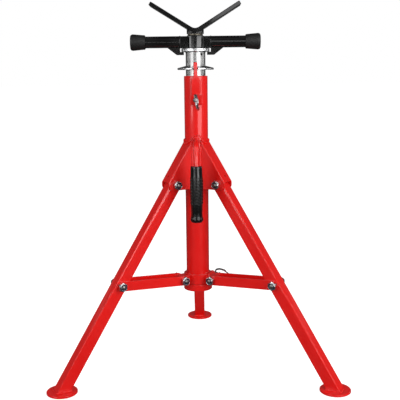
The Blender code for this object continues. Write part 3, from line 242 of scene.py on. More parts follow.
# %% Red powder coat, black paint and black rubber
red_paint = make_coating(
    "red powder coat", (0.79, 0.0062, 0.0046), (0.84, 0.0088, 0.0064), worn_and_highlit=(0.58, 0.008, 0.006),
    drift_scale=9, wear_and_highlight=(0.05, 0.6), wear_and_highlight_scale=160, rough=(0.28, 0.42), rough_scale=45,
    peel_scale=520, peel_detail=1.5, peel_depth=0.00002, peel_strength=0.5,
    edge=0.0009, coat=1.0, coat_rough=0.07, specular=0.15,
)
black_paint = make_black(
    "black paint", 0.004, 0.008, wear_and_highlight=2.0, rough=(0.08, 0.14),
    peel_scale=480, peel_depth=0.000004, edge=0.0006, coat=0.9, coat_rough=0.05,
)
cap_rubber = make_black(
    "cap rubber", 0.006, 0.010, wear_and_highlight=2.0, rough=(0.46, 0.60),
    peel_scale=900, peel_depth=0.00005, edge=0.0007, coat=0.0, coat_rough=0.3,
)
grip_rubber = make_black(
    "grip rubber", 0.003, 0.006, wear_and_highlight=1.3, rough=(0.16, 0.22),
    peel_scale=700, peel_depth=0.00001, edge=0.0002, coat=0.35, coat_rough=0.08,
)

# %% [markdown]
# ## Zinc plate, steel and bronze
# The inner tube, its discs, the bolts, the pins and the rings are zinc plated: a pale metal with a
# faint cloudiness. The tube was drawn through a die, so fine lines run along it. The lifting screw
# is bare turned steel with a film of oil, the small set screw is blackened steel, and a bronze
# washer sits above the hub. Every metal's edges carry a painted highlight: a slightly brighter
# base colour. One recipe makes them all.

# %% Metal finishes
METAL_EDGE = 0.0004
PAINTED_EDGE_HIGHLIGHT = 1.12


def make_metal(name, dark, light, rough, stretch, line_depth):
    """Cloudy metal with lines or grain, which stretch sets in lumps to the metre each way, and a
    painted highlight that brightens its base colour along the edges.
    """
    material, tree, shader = start_finish(name)
    cloud = spread(tree, spots(tree, 55, 4, distortion=0.4), 0, 1)
    base = blend_colours(tree, cloud, dark, light)
    rounded = soft_edges(tree, METAL_EDGE)
    # Painted highlight: the base colour is made brighter along every edge.
    painted_edge_highlight = tuple(min(1.0, PAINTED_EDGE_HIGHLIGHT * part) for part in light)
    lines = spots(tree, 1.0, 3, stretch)
    feed(tree, shader, {
        "Metallic": 1.0,
        "Base Color": blend_colours(tree, edge_mask(tree, rounded), base, painted_edge_highlight),
        "Roughness": spread(tree, lines, *rough, start=0.3, end=0.7),
        "Normal": relief(tree, lines, line_depth, 0.5, rounded),
    })
    return material


zinc_tube = make_metal(
    "zinc plate on tube", (0.53, 0.53, 0.53), (0.61, 0.61, 0.60),
    rough=(0.25, 0.31), stretch=(900, 900, 14), line_depth=0.000008,
)
zinc_plate = make_metal(
    "zinc plate", (0.62, 0.63, 0.64), (0.84, 0.85, 0.86),
    rough=(0.14, 0.26), stretch=(420, 420, 420), line_depth=0.00002,
)
bare_steel = make_metal(
    "bare steel", (0.26, 0.25, 0.235), (0.38, 0.365, 0.34),
    rough=(0.28, 0.42), stretch=(60, 60, 900), line_depth=0.00003,
)
dark_steel = make_metal(
    "blackened steel", (0.035, 0.035, 0.036), (0.07, 0.07, 0.072),
    rough=(0.30, 0.44), stretch=(300, 300, 300), line_depth=0.00003,
)
bronze = make_metal(
    "bronze", (0.16, 0.143, 0.112), (0.27, 0.243, 0.195),
    rough=(0.34, 0.50), stretch=(600, 600, 600), line_depth=0.00002,
)

# %% [markdown]
# ## Blue nylon
# Each locking nut has a ring of dark blue nylon in its collar, which grips the bolt's thread.

# %% Blue nylon
def make_nylon():
    material, tree, shader = start_finish("blue nylon")
    drift = spread(tree, spots(tree, 400, 2), 0, 1)
    feed(tree, shader, {
        "Base Color": blend_colours(tree, drift, (0.006, 0.014, 0.045), (0.010, 0.024, 0.075)),
        "Roughness": spread(tree, spots(tree, 500, 2), 0.32, 0.48),
        "Normal": relief(tree, spots(tree, 1500, 2), 0.00003, 0.5),
    })
    return material


blue_nylon = make_nylon()

# %% [markdown]
# ## Finishes onto the CAD parts
# The record names a finish for every part. Each CAD part takes the matching material in its own
# material slots. The drawn tube takes the zinc with lines along it, and the set screw its black.

# %% Dress the CAD parts
FINISH_OF_SLOT = {
    "red_paint": red_paint,
    "black_paint": black_paint,
    "zinc_plate": zinc_plate,
    "bare_steel": bare_steel,
    "bronze": bronze,
    "black_rubber": cap_rubber,
}
FINISH_OF_NODE = {"inner_tube": zinc_tube, "set_screw": dark_steel}
for name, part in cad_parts.items():
    slot = part.data.materials[0].name.split(".")[0]
    finish = FINISH_OF_NODE.get(name) or FINISH_OF_SLOT[slot]
    for number in range(len(part.data.materials)):
        part.material_slots[number].material = finish
print("dressed", len(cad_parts), "CAD parts")

# %% [markdown]
# ## Making a new piece
# Every added piece is a mesh built about the main tube's axis and then moved to where that axis
# stands. A piece rides on the CAD body it belongs to, hides the CAD parts that it stands for, and
# takes the material of its finish.

# %% From a shape to a piece on its body
MERGE_POINTS = 0.000001


def link_mesh(name, shape, material):
    """Turn a bmesh into an object in the scene."""
    mesh = bpy.data.meshes.new(name)
    shape.to_mesh(mesh)
    shape.free()
    mesh.materials.append(material)
    made = bpy.data.objects.new(name, mesh)
    bpy.context.scene.collection.objects.link(made)
    return made


def build_piece(name, shape, finish, body, stands_for=(), crease=35):
    """Turn a bmesh about the tube's axis into a dressed piece on its body."""
    bmesh.ops.remove_doubles(shape, verts=shape.verts, dist=MERGE_POINTS)
    bmesh.ops.recalc_face_normals(shape, faces=shape.faces)
    bmesh.ops.translate(shape, vec=AXIS, verts=shape.verts)
    piece = link_mesh(name, shape, finish)
    piece.data.shade_smooth()
    piece.data.set_sharp_from_angle(angle=math.radians(crease))
    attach(piece, body)
    for node in stands_for:
        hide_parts(node)
    keep_flats_flat(piece)
    return piece


# %% Directions and even steps
def radial(azimuth):
    """The direction that points out from the tube at an azimuth."""
    return Vector((math.cos(azimuth), math.sin(azimuth), 0))


def sideways(azimuth):
    """The flat direction at a right angle to an azimuth."""
    return Vector((-math.sin(azimuth), math.cos(azimuth), 0))


def up(height):
    return Vector((0, 0, height))


def stand_along(direction, origin):
    """A matrix that turns a shape's Z axis along a direction and moves it to an origin."""
    turn = Vector(direction).to_track_quat("Z", "Y").to_matrix().to_4x4()
    turn.translation = origin
    return turn


def round_points(radius, steps):
    """Points evenly round a circle, as (x, y) pairs."""
    angles = [math.tau * step / steps for step in range(steps)]
    return [(radius * math.cos(angle), radius * math.sin(angle)) for angle in angles]


def evenly(first, last, steps):
    """Values from first to last in even steps, with both ends."""
    return [first + (last - first) * step / steps for step in range(steps + 1)]


# %% Skins between rings of points
def skin(shape, rows, wrap=True, closed=False):
    """Quads between each row of points and the next, round rows that wrap."""
    pairs = list(zip(rows, rows[1:]))
    if closed:
        pairs.append((rows[-1], rows[0]))
    for lower, upper in pairs:
        for step in range(len(lower) if wrap else len(lower) - 1):
            after = (step + 1) % len(lower)
            shape.faces.new([lower[step], lower[after], upper[after], upper[step]])


def cap_ring(shape, ring, centre):
    """Close a ring of points to a centre point."""
    middle = shape.verts.new(centre)
    for step in range(len(ring)):
        shape.faces.new([ring[step], ring[(step + 1) % len(ring)], middle])


def close_ends(shape, rings):
    """Close the first and last ring of a swept strip."""
    shape.faces.new(rings[0])
    shape.faces.new(list(reversed(rings[-1])))


def turned(profile, sides=64, shape=None, matrix=None):
    """Turn (radius, height) points about Z into a closed or open skin."""
    shape = shape or bmesh.new()
    rings = []
    for radius, height in profile:
        if radius == 0:
            rings.append([shape.verts.new((0, 0, height))])
            continue
        rings.append([shape.verts.new((x, y, height)) for x, y in round_points(radius, sides)])
    made = [vert for ring in rings for vert in ring]
    for lower, upper in zip(rings, rings[1:]):
        for step in range(sides):
            after = (step + 1) % sides
            corners = [lower[step % len(lower)], lower[after % len(lower)]]
            corners += [upper[after % len(upper)], upper[step % len(upper)]]
            shape.faces.new(list(dict.fromkeys(corners)))
    if matrix is not None:
        bmesh.ops.transform(shape, matrix=matrix, verts=made)
    return shape


LEG_AZIMUTHS = {"left": math.radians(210), "right": math.radians(330), "rear": math.radians(90)}
NUT_SIDES = {"left": 1, "right": -1, "rear": 1}

# %% [markdown]
# ## Bolts and locking nuts
# Nine M10 bolts hold the legs and braces. A real hex is cut from bar and its corners are turned
# away at 30 degrees, which leaves a curved bright edge on every flat. The mesh makes that edge
# the same way: each point's reach is the smaller of the hexagon and a cone. Each locking nut has
# a round collar that is rolled in over its nylon ring.

# %% Hex bars with turned corners
HEX_FLAT = 0.0085
HEX_SIDES = 72
CHAMFER_START = 0.97 * HEX_FLAT
CHAMFER_SLOPE = math.tan(math.radians(60))
CHAMFER_DEPTHS = (0.0, 0.00018, 0.00036, 0.00054, 0.00074)
UNTRIMMED = 1.0


def hex_reach(angle):
    """How far a hexagon reaches at an angle."""
    sector = math.tau / 6
    return HEX_FLAT / math.cos((angle + sector / 2) % sector - sector / 2)


def hex_rows(shape, levels, matrix):
    """Skin a hex bar through (height, cone radius) levels; the cone trims the corners."""
    rings = []
    for height, cone in levels:
        ring = []
        for step in range(HEX_SIDES):
            angle = math.tau * step / HEX_SIDES
            reach = min(hex_reach(angle), cone)
            spot = Vector((reach * math.cos(angle), reach * math.sin(angle), height))
            ring.append(shape.verts.new(matrix @ spot))
        rings.append(ring)
    skin(shape, rings)
    return rings


def chamfer_levels(bottom, top, trim_top):
    """Levels of a hex bar: close together where a cone trims its corners."""
    cones = [(depth, CHAMFER_START + depth * CHAMFER_SLOPE) for depth in CHAMFER_DEPTHS]
    levels = [(bottom + depth, cone) for depth, cone in cones]
    if trim_top:
        return levels + [(top - depth, cone) for depth, cone in reversed(cones)]
    return levels + [(top, UNTRIMMED)]


# %% Sizes of bolts and nuts
SEAT = 0.01645
SHANK = 0.005
HEAD_HEIGHT = 0.0064
HEAD_DISH = 0.0003
NUT_HEIGHT = 0.0066
COLLAR_TOP = 0.0088
COLLAR_PROFILE = (
    (CHAMFER_START, NUT_HEIGHT), (0.0073, NUT_HEIGHT), (0.0071, NUT_HEIGHT + 0.0002),
    (0.0071, COLLAR_TOP - 0.0008), (0.0070, COLLAR_TOP - 0.0003), (0.0067, COLLAR_TOP),
    (0.0064, COLLAR_TOP - 0.0001), (0.0062, COLLAR_TOP - 0.0006),
)
# The nylon ring and the bolt's domed end, as (radius, height above the nut's collar) points.
NYLON_PROFILE = (
    (0.0063, -0.0005), (0.0059, -0.0004), (0.0050, -0.0005), (0.0047, -0.0008), (0.0047, -0.0020),
)
END_PROFILE = (
    (0.0046, -0.0020), (0.0047, -0.0012), (0.0043, -0.0006), (0.0045, -0.0001),
    (0.0038, 0.0005), (0.0028, 0.0010), (0.0021, 0.0013), (0.0010, 0.0016), (0, 0.0016),
)


# %% Bolt and nut shapes
def bolt_piece(joint, body, origin, direction, shank_end):
    """A hex bolt: its head ends at -SEAT and its plain shank at shank_end."""
    matrix = stand_along(direction, origin)
    shape = bmesh.new()
    low = -SEAT - HEAD_HEIGHT
    rings = hex_rows(shape, chamfer_levels(low, -SEAT, False), matrix)
    dish = low + HEAD_DISH
    face = [(0, dish), (0.0062, dish), (0.0066, low), (CHAMFER_START, low)]
    shank = [(HEX_FLAT, -SEAT), (SHANK, -SEAT), (SHANK, shank_end), (0, shank_end)]
    turned(face, HEX_SIDES, shape, matrix)
    turned(shank, HEX_SIDES, shape, matrix)
    cap_ring(shape, rings[-1], matrix @ Vector((0, 0, -SEAT)))
    build_piece("bolt_" + joint, shape, zinc_plate, body, [joint + "_bolt"], 28)


def nut_piece(joint, body, origin, direction, stub):
    """A locking nut: hex, rolled collar, nylon ring and the bolt's domed end."""
    matrix = stand_along(direction, origin)
    shape = bmesh.new()
    rings = hex_rows(shape, chamfer_levels(0, NUT_HEIGHT, True), matrix)
    cap_ring(shape, rings[0], matrix @ Vector((0, 0, 0)))
    turned(COLLAR_PROFILE, HEX_SIDES, shape, matrix)
    if stub:
        turned([(0, -stub), (SHANK, -stub), (SHANK, 0)], 36, shape, matrix)
    name = "nut_" + joint
    build_piece(name, shape, zinc_plate, body, [joint + "_nut"], 28)
    for label, profile, finish, slot in (
        ("_nylon", NYLON_PROFILE, blue_nylon, "black_rubber"),
        ("_bolt_end", END_PROFILE, bare_steel, "bare_steel"),
    ):
        points = [(radius, COLLAR_TOP + height) for radius, height in profile]
        build_piece(name + label, turned(points, 48, matrix=matrix), finish, body)


# %% [markdown]
# The bolts from brace to leg are two short stubs in the CAD, because a tree of joints can't hold
# one bolt in two parts that move, so they are here too.

# %% Place the nine bolts and nuts
STUB = 0.003
NUT_GAP = 0.0001
COLLAR_HEIGHT = 0.1938
JOINT_PLACES = (
    ("pivot", 0.0556, 0.397802),
    ("collar_end", 0.0407, COLLAR_HEIGHT),
    ("leg_end", 0.183619, 0.202763),
)
for side, azimuth in LEG_AZIMUTHS.items():
    across = sideways(azimuth) * NUT_SIDES[side]
    bodies = {"pivot": "frame", "collar_end": "collar", "leg_end": side + "_brace"}
    for label, reach, height in JOINT_PLACES:
        joint = label + "_" + side
        middle = radial(azimuth) * reach + up(height)
        nut_seat = middle + across * (SEAT + NUT_GAP)
        stub = STUB if label == "leg_end" else 0.0
        shank_end = STUB - SEAT if stub else SEAT
        bolt_piece(joint, bodies[label], middle, across, shank_end)
        nut_piece(joint, bodies[label], nut_seat, across, stub)
print("placed nine bolts and nine nuts")

# %% [markdown]
# ## Lifting screw
# The screw has a coarse trapezoidal thread that rises 6.35 mm a turn and a keyway down one side.
# A bump texture would leave its outline smooth, so the thread is real: every row of points climbs
# with the turn, and each point's reach follows the thread's profile.

# %% Sizes of the screw
SCREW_FOOT = 0.3261
SCREW_SHOULDER = 0.3381
SCREW_HEAD = 0.7031
SCREW_REACH = 0.011
SCREW_CHAMFER = 0.0012
THREAD_DEPTH = 0.0032
THREAD_RISE = 0.00635
# The thread's profile, as (share of a turn, share of its depth) points: crest, flank and root.
THREAD_PROFILE = ((0.0, 0.0), (0.32, 0.0), (0.45, 1.0), (0.87, 1.0))
KEY_AZIMUTH = math.radians(-52)
KEY_HALF_WIDTH = 0.0026
KEY_DEPTH = 0.002
ROUND_STEPS = 44
GUIDE_PROFILE = (
    (0, SCREW_FOOT), (0.0123, SCREW_FOOT), (0.0135, SCREW_FOOT + 0.0012),
    (0.0135, SCREW_SHOULDER - 0.0006), (0.0129, SCREW_SHOULDER), (0, SCREW_SHOULDER),
)


# %% Threaded bar with a keyway
def screw_angles():
    """Angles round the screw from wall to wall of the keyway, then three in the keyway."""
    wall = math.asin(KEY_HALF_WIDTH / SCREW_REACH)
    sweep = math.tau - 2 * wall
    angles = [KEY_AZIMUTH + wall + step * sweep / ROUND_STEPS for step in range(ROUND_STEPS + 1)]
    angles += [KEY_AZIMUTH - 0.97 * wall, KEY_AZIMUTH, KEY_AZIMUTH + 0.97 * wall]
    return angles


def screw_spot(angle, climb, depth, in_keyway):
    """A point of the thread, kept inside the screw's ends and the keyway's floor."""
    turn = climb + (angle - KEY_AZIMUTH) / math.tau
    height = min(max(SCREW_SHOULDER + THREAD_RISE * turn, SCREW_SHOULDER), SCREW_HEAD)
    reach = SCREW_REACH - THREAD_DEPTH * depth
    if in_keyway:
        reach = min(reach, (SCREW_REACH - KEY_DEPTH) / math.cos(angle - KEY_AZIMUTH))
    if height >= SCREW_HEAD - SCREW_CHAMFER:
        reach = min(reach, SCREW_REACH - SCREW_CHAMFER)
    return reach * math.cos(angle), reach * math.sin(angle), height


def make_screw():
    shape = bmesh.new()
    angles = screw_angles()
    turns = int((SCREW_HEAD - SCREW_SHOULDER) / THREAD_RISE) + 3
    rows = []
    for turn in range(-1, turns):
        for share, depth in THREAD_PROFILE:
            rows.append([
                shape.verts.new(screw_spot(angle, turn + share, depth, place > ROUND_STEPS))
                for place, angle in enumerate(angles)
            ])
    skin(shape, rows, wrap=False)
    pitch = len(THREAD_PROFILE)
    for number in range(len(rows) - pitch - 1):
        lower, upper = rows[number], rows[number + 1]
        first, second = rows[number + pitch], rows[number + pitch + 1]
        shape.faces.new([lower[-1], first[0], second[0], upper[-1]])
    turned(GUIDE_PROFILE, 64, shape)
    head = SCREW_HEAD - 0.00005
    turned([(SCREW_REACH - SCREW_CHAMFER, head), (0, head)], 64, shape)
    bmesh.ops.dissolve_degenerate(shape, dist=0.00001, edges=shape.edges)
    return build_piece("screw", shape, bare_steel, "lift", ["lifting_screw"], 25)


screw = make_screw()
print("screw faces:", len(screw.data.polygons))

# %% [markdown]
# ## Split rings
# Both pins are pulled by a split ring: flat spring wire wound twice, its ends lying side by side.
# This mesh sweeps a rounded section along two turns that cross over in a short ramp, and then
# leans the ring as it hangs in the photo.

# %% Flat wire and its section
RING_OUTER = 0.0334
RING_STEPS = 132
RAMP = math.radians(26)
SECTION_STEPS = 12
SECTION_ROUNDNESS = 0.55
TURN_FILL = 0.47


def wire_section(wire, coil):
    """A rounded flat section, as (reach, along) pairs; each turn nearly fills its half."""
    section = []
    for step in range(SECTION_STEPS):
        angle = math.tau * (step + 0.5) / SECTION_STEPS
        across, along = math.cos(angle), math.sin(angle)
        section.append((
            wire / 2 * math.copysign(abs(across) ** SECTION_ROUNDNESS, across),
            TURN_FILL * coil * math.copysign(abs(along) ** SECTION_ROUNDNESS, along),
        ))
    return section


# %% Two-turn split ring
def split_ring(pin, origin, out, lean, turn, droop, wire, width):
    """Wind two flat turns about Y, hang them from the origin and lean them about the pin."""
    middle = (RING_OUTER - wire) / 2
    coil = width / 2
    section = wire_section(wire, coil)
    shape = bmesh.new()
    rings = []
    for angle in evenly(RAMP, 2 * math.tau - RAMP, RING_STEPS):
        share = min(max((angle - (math.tau - RAMP)) / (2 * RAMP), 0.0), 1.0)
        share = share * share * (3 - 2 * share)
        offset = (share - 0.5) * coil
        spoke = Vector((math.cos(angle), 0, math.sin(angle)))
        rings.append([
            shape.verts.new(spoke * (middle + reach) + Vector((middle, offset + along, 0)))
            for reach, along in section
        ])
    skin(shape, rings)
    close_ends(shape, rings)
    swing = Matrix.Rotation(turn, 4, "Z") @ Matrix.Rotation(droop, 4, "Y")
    hole = up(math.cos(lean)) + up(1).cross(out) * math.sin(lean)
    stand = Matrix((out, hole.cross(out), hole)).transposed().to_4x4()
    stand.translation = origin
    bmesh.ops.transform(shape, matrix=stand @ swing, verts=shape.verts)
    name, node, body = pin + "_split_ring", pin + "_pin_ring", pin + "_ring"
    ring = build_piece(name, shape, zinc_plate, body, [node], 40)


# %% Hang the two rings
PIN_HEIGHT = 0.5698
COLLAR_PIN_AZIMUTH = math.radians(30)
split_ring(
    "height", Vector((0, -0.04575, PIN_HEIGHT)), Vector((0, -1, 0)), lean=math.radians(-10),
    turn=math.radians(5), droop=math.radians(15), wire=0.0024, width=0.0052,
)
split_ring(
    "collar", Vector((0.039664, 0.0229, COLLAR_HEIGHT)), radial(COLLAR_PIN_AZIMUTH),
    lean=math.radians(66), turn=math.radians(8), droop=0.0, wire=0.0028, width=0.0040,
)

# %% [markdown]
# ## The grip and its tread
# The carrying handle ends in a black rubber grip: a bulb at the foot, a waist, and a swelling
# middle covered with small raised diamonds in staggered columns. The tread is modelled, not
# painted, because it breaks the light into small facets. A fine grid is wrapped round the grip's
# profile, and every point inside a diamond is lifted by up to 0.9 mm.

# %% Sizes of the grip
ROD_DEPTH = -0.07195
GRIP_FOOT = 0.327
GRIP_TALL = 0.1138
GRIP_MOUTH = 0.0063
GRIP_INSET = 0.0003
GRIP_AROUND, GRIP_LEVELS = 224, 280
# The grip's outline, as (share of its height, radius) points.
GRIP_PROFILE = (
    (0.0, 0.0098), (0.012, 0.0112), (0.03, 0.0126), (0.05, 0.0131), (0.066, 0.0130),
    (0.085, 0.0123), (0.105, 0.0118), (0.16, 0.0116), (0.24, 0.0118), (0.34, 0.0123),
    (0.46, 0.0128), (0.6, 0.0130), (0.74, 0.0128), (0.88, 0.0123), (0.96, 0.0120),
    (0.99, 0.0117), (1.0, 0.0110),
)
TREAD_LOW, TREAD_HIGH = 0.3621, 0.4195
TREAD_FADE = 0.003
DIAMOND_COLUMNS = 7
DIAMOND_PITCH = 0.00624
DIAMOND_LIFT = 0.0009
DIAMOND_WIDE, DIAMOND_TALL = 0.52, 0.66
DIAMOND_DOME = 1.7
FIRST_COLUMN = 0.25


# %% Grip with raised diamonds
def grip_reach(share):
    """The grip's radius at a share of its height, straight between the profile's points."""
    for (low, first), (high, second) in zip(GRIP_PROFILE, GRIP_PROFILE[1:]):
        if share <= high:
            return first + (second - first) * (share - low) / (high - low)
    return GRIP_PROFILE[-1][1]


def tread_lift(angle, height):
    """How far a diamond of the tread lifts this point."""
    best = 0.0
    row = (height - TREAD_LOW) / DIAMOND_PITCH
    column = angle / math.tau * DIAMOND_COLUMNS + FIRST_COLUMN
    for stagger in (0.0, 0.5):
        across = abs((column + stagger) % 1.0 - 0.5) * 2
        along = abs((row + stagger) % 1.0 - 0.5) * 2
        inside = DIAMOND_DOME * (1.0 - (across / DIAMOND_WIDE + along / DIAMOND_TALL))
        best = max(best, math.sin(math.pi / 2 * min(1.0, max(0.0, inside))))
    from_ends = min(height - TREAD_LOW, TREAD_HIGH - height) / TREAD_FADE
    return DIAMOND_LIFT * best * min(1.0, max(0.0, from_ends))


def make_grip():
    shape = bmesh.new()
    rings = []
    for share in evenly(0, 1, GRIP_LEVELS):
        height = GRIP_FOOT + share * GRIP_TALL
        ring = []
        for step in range(GRIP_AROUND):
            angle = math.tau * step / GRIP_AROUND
            reach = grip_reach(share) + tread_lift(angle, height) - GRIP_INSET
            spot = (reach * math.cos(angle), ROD_DEPTH + reach * math.sin(angle), height)
            ring.append(shape.verts.new(spot))
        rings.append(ring)
    skin(shape, rings)
    cap_ring(shape, rings[0], (0, ROD_DEPTH, GRIP_FOOT + 0.0001))
    top = GRIP_FOOT + GRIP_TALL
    mouth = [
        shape.verts.new((x, ROD_DEPTH + y, top)) for x, y in round_points(GRIP_MOUTH, GRIP_AROUND)
    ]
    skin(shape, [rings[-1], mouth])
    stands_for = ["carry_handle_grip"]
    return build_piece("grip", shape, grip_rubber, "frame", stands_for, 50)


grip = make_grip()
print("grip faces:", len(grip.data.polygons))

# %% [markdown]
# ## Weld beads
# The brackets, rod, boss, plate and lugs are welded to their tubes, and the photo shows the
# rippled beads as rows of small bright scallops. A bead is a round strip swept along the joint
# whose thickness swells and falls every four millimetres, a little later on one side than on the
# other as the welder's hand leans, and it sinks halfway into both parts that it joins.

# %% Even steps along a path
BEAD_SIDES = 10
BEAD_STEPS = 5
BEAD_UNEVEN, BEAD_LUMPS = 0.12, 300
BEAD_THIN, BEAD_SWELL = 0.66, 0.38
UPRIGHT = 0.98


def even_spots(path, ripple, closed):
    """(point, distance) pairs evenly along a path, five to each ripple."""
    lengths = [0.0]
    for here, there in zip(path, path[1:]):
        lengths.append(lengths[-1] + (there - here).length)
    total = lengths[-1]
    count = max(8, int(total / (ripple / BEAD_STEPS)))
    found = []
    part = 0
    for step in range(count + (0 if closed else 1)):
        along = total * step / count
        while part < len(path) - 2 and lengths[part + 1] < along:
            part += 1
        share = (along - lengths[part]) / max(1e-9, lengths[part + 1] - lengths[part])
        found.append((path[part].lerp(path[part + 1], share), along))
    return found, total


# %% Bead that follows a path
def weld(
    name, points, body, radius, finish=red_paint, slot="red_paint", closed=False, ripple=0.0038
):
    """Sweep a rippled bead along points about the tube's axis."""
    path = [Vector(point) for point in points]
    if closed:
        path.append(path[0])
    found, total = even_spots(path, ripple, closed)
    shape = bmesh.new()
    rings = []
    number = len(found)
    for place, (spot, along) in enumerate(found):
        ahead = found[(place + 1) % number][0] if closed or place < number - 1 else spot
        behind = found[place - 1][0] if closed or place else spot
        forward = (ahead - behind).normalized()
        level = abs(forward.z) < UPRIGHT
        beside = up(1) if level else radial(math.atan2(spot.y, spot.x))
        aside = forward.cross(beside).normalized()
        over = aside.cross(forward)
        size = radius * (1 + BEAD_UNEVEN * noise.noise(spot * BEAD_LUMPS))
        if not closed:
            near = min(along, total - along)
            size *= math.sqrt(min(1.0, near / radius + 0.08))
        ring = []
        for side in range(BEAD_SIDES):
            angle = math.tau * side / BEAD_SIDES
            phase = ((along + 0.5 * radius * math.cos(angle)) / ripple) % 1.0
            bulge = math.sqrt(max(0.0, 1 - (2 * phase - 1) ** 2))
            out = aside * math.cos(angle) + over * math.sin(angle)
            ring.append(shape.verts.new(spot + out * size * (BEAD_THIN + BEAD_SWELL * bulge)))
        rings.append(ring)
    skin(shape, rings, closed=closed)
    if not closed:
        close_ends(shape, rings)
    build_piece("weld_" + name, shape, finish, body, crease=70)


# %% [markdown]
# ### Beads on the brackets
# Each leg bracket is welded to the tube down both flanges and over the top of its sloping web.

# %% Bracket beads
TUBE_R = 0.02415
BEAD_OUT = 0.0014
FLANGE_EDGE, FLANGE_BEAD_ASIDE = 0.01655, 0.01685
FLANGE_LOW, FLANGE_HIGH = 0.3885, 0.4755
WEB_FOOT, WEB_REACH, WEB_OUT = 0.408, 0.0556, 0.019
WEB_HALF_WIDTH, WEB_BEAD_OUT, WEB_BEAD_LIFT = 0.015, 0.0008, 0.0010
LEG_ANGLE = math.radians(33.28)


def bracket_path(azimuth, sign):
    """The line where a bracket's flange meets the tube."""
    reach = math.sqrt(TUBE_R ** 2 - FLANGE_EDGE ** 2) + BEAD_OUT
    foot = radial(azimuth) * reach + sideways(azimuth) * sign * FLANGE_BEAD_ASIDE
    return [foot + up(FLANGE_LOW), foot + up(FLANGE_HIGH)]


def web_top_path(azimuth):
    """Points over the top of the web, where it meets the tube."""
    points = []
    for across in evenly(-WEB_HALF_WIDTH, WEB_HALF_WIDTH, 16):
        reach = math.sqrt(TUBE_R ** 2 - across ** 2)
        slope_run = WEB_REACH + WEB_OUT * math.cos(LEG_ANGLE) - reach
        height = WEB_FOOT + slope_run / math.tan(LEG_ANGLE)
        flat = radial(azimuth) * (reach + WEB_BEAD_OUT) + sideways(azimuth) * across
        points.append(flat + up(height + WEB_BEAD_LIFT))
    return points


for side, azimuth in LEG_AZIMUTHS.items():
    for label, sign in (("a", 1), ("b", -1)):
        weld("bracket_" + side + "_" + label, bracket_path(azimuth, sign), "frame", radius=0.0026)
    weld("bracket_" + side + "_top", web_top_path(azimuth), "frame", radius=0.0024)
print("welded three brackets")

# %% [markdown]
# ### Beads on the tube's front
# The carrying rod, the boss that guides the height pin and the key plate stand on the tube's
# front, so their beads follow its round face.

# %% Rod, boss and key plate beads
ROD_HEIGHT, ROD_BEAD = 0.487, 0.0067
CROWN_MIDDLE, CROWN_HALF_WIDTH = 0.001, 0.012
CROWN_TOP, CROWN_DROP = 0.4985, 0.0085
FOOT_HEIGHT, FOOT_HALF_WIDTH = 0.5600, 0.0115


def on_front(across, height, proud=0.0005):
    """A point just proud of the main tube's front."""
    return Vector((across, -math.sqrt(TUBE_R ** 2 - across ** 2) - proud, height))


def weld_sides(name, half_width, heights, proud, radius):
    """An upright bead down each side of a part on the tube's front."""
    for side, sign in (("left", -1), ("right", 1)):
        points = [on_front(sign * half_width, height, proud) for height in heights]
        weld(name + "_" + side, points, "frame", radius)


rod_ring = [on_front(x, ROD_HEIGHT + y) for x, y in round_points(ROD_BEAD, 40)]
weld("rod", rod_ring, "frame", radius=0.0018, closed=True, ripple=0.0030)
crown = []
for share in evenly(-1, 1, 16):
    across = CROWN_MIDDLE + CROWN_HALF_WIDTH * share
    crown.append(on_front(across, CROWN_TOP - CROWN_DROP * share * share, proud=0.0002))
weld("rod_crown", crown, "frame", radius=0.0015)
weld_sides("pin_boss", 0.0125, heights=(0.5612, 0.5784), proud=0.0003, radius=0.0014)
boss_foot = [
    on_front(across, FOOT_HEIGHT, proud=0.0004)
    for across in evenly(-FOOT_HALF_WIDTH, FOOT_HALF_WIDTH, 12)
]
weld("pin_boss_foot", boss_foot, "frame", radius=0.0014)
weld_sides("key_plate", 0.0090, heights=(0.5810, 0.6090), proud=0.0004, radius=0.0012)
print("welded rod, boss and key plate")

# %% [markdown]
# ### Beads on the collar, feet, inner tube and head
# Each lug has a bead down both sides, each leg one round its end on the foot disc, and the pin
# boss, flange, notched disc, arms and V boss one round each joint.

# %% Collar and foot beads
FOOT_REACH = 0.313229
FOOT_OUT, FOOT_ASIDE, FOOT_BEAD_HEIGHT = 0.0155, 0.0130, 0.0056
CORNER_SIGNS = ((1, 1), (1, -1), (-1, -1), (-1, 1))
COLLAR_R, LUG_ASIDE, LUG_HALF_HEIGHT = 0.03, 0.01255, 0.0072
LUG_BEAD_OUT, LUG_BEAD_ASIDE = 0.0004, 0.0128


def foot_path(azimuth):
    """Points round the end of a leg, just above its foot disc."""
    out, aside = radial(azimuth), sideways(azimuth)
    corners = [(x * FOOT_OUT, y * FOOT_ASIDE) for x, y in CORNER_SIGNS]
    points = []
    for first, second in zip(corners, corners[1:] + corners[:1]):
        for share in evenly(0, 1, 8)[:-1]:
            x, y = [here + (there - here) * share for here, there in zip(first, second)]
            points.append(out * FOOT_REACH + out * x + aside * y + up(FOOT_BEAD_HEIGHT))
    return points


lug_reach = math.sqrt(COLLAR_R ** 2 - LUG_ASIDE ** 2) + LUG_BEAD_OUT
for side, azimuth in LEG_AZIMUTHS.items():
    for label, sign in (("a", 1), ("b", -1)):
        beside = sideways(azimuth) * sign * LUG_BEAD_ASIDE
        middle = radial(azimuth) * lug_reach + beside + up(COLLAR_HEIGHT)
        ends = [middle - up(LUG_HALF_HEIGHT), middle + up(LUG_HALF_HEIGHT)]
        weld("lug_" + side + "_" + label, ends, "collar", radius=0.0012)
    weld("foot_" + side, foot_path(azimuth), side + "_leg", radius=0.0018, closed=True)
print("welded lugs and feet")

# %% Beads round a joint, and the V boss
V_BEND = 0.0218
V_SLOPE = math.radians(31.8)
V_CENTRE = 0.7252
ARM_END, ARM_HEIGHT = 0.0313, 0.6848
PIN_BOSS_FOOT = 0.0301
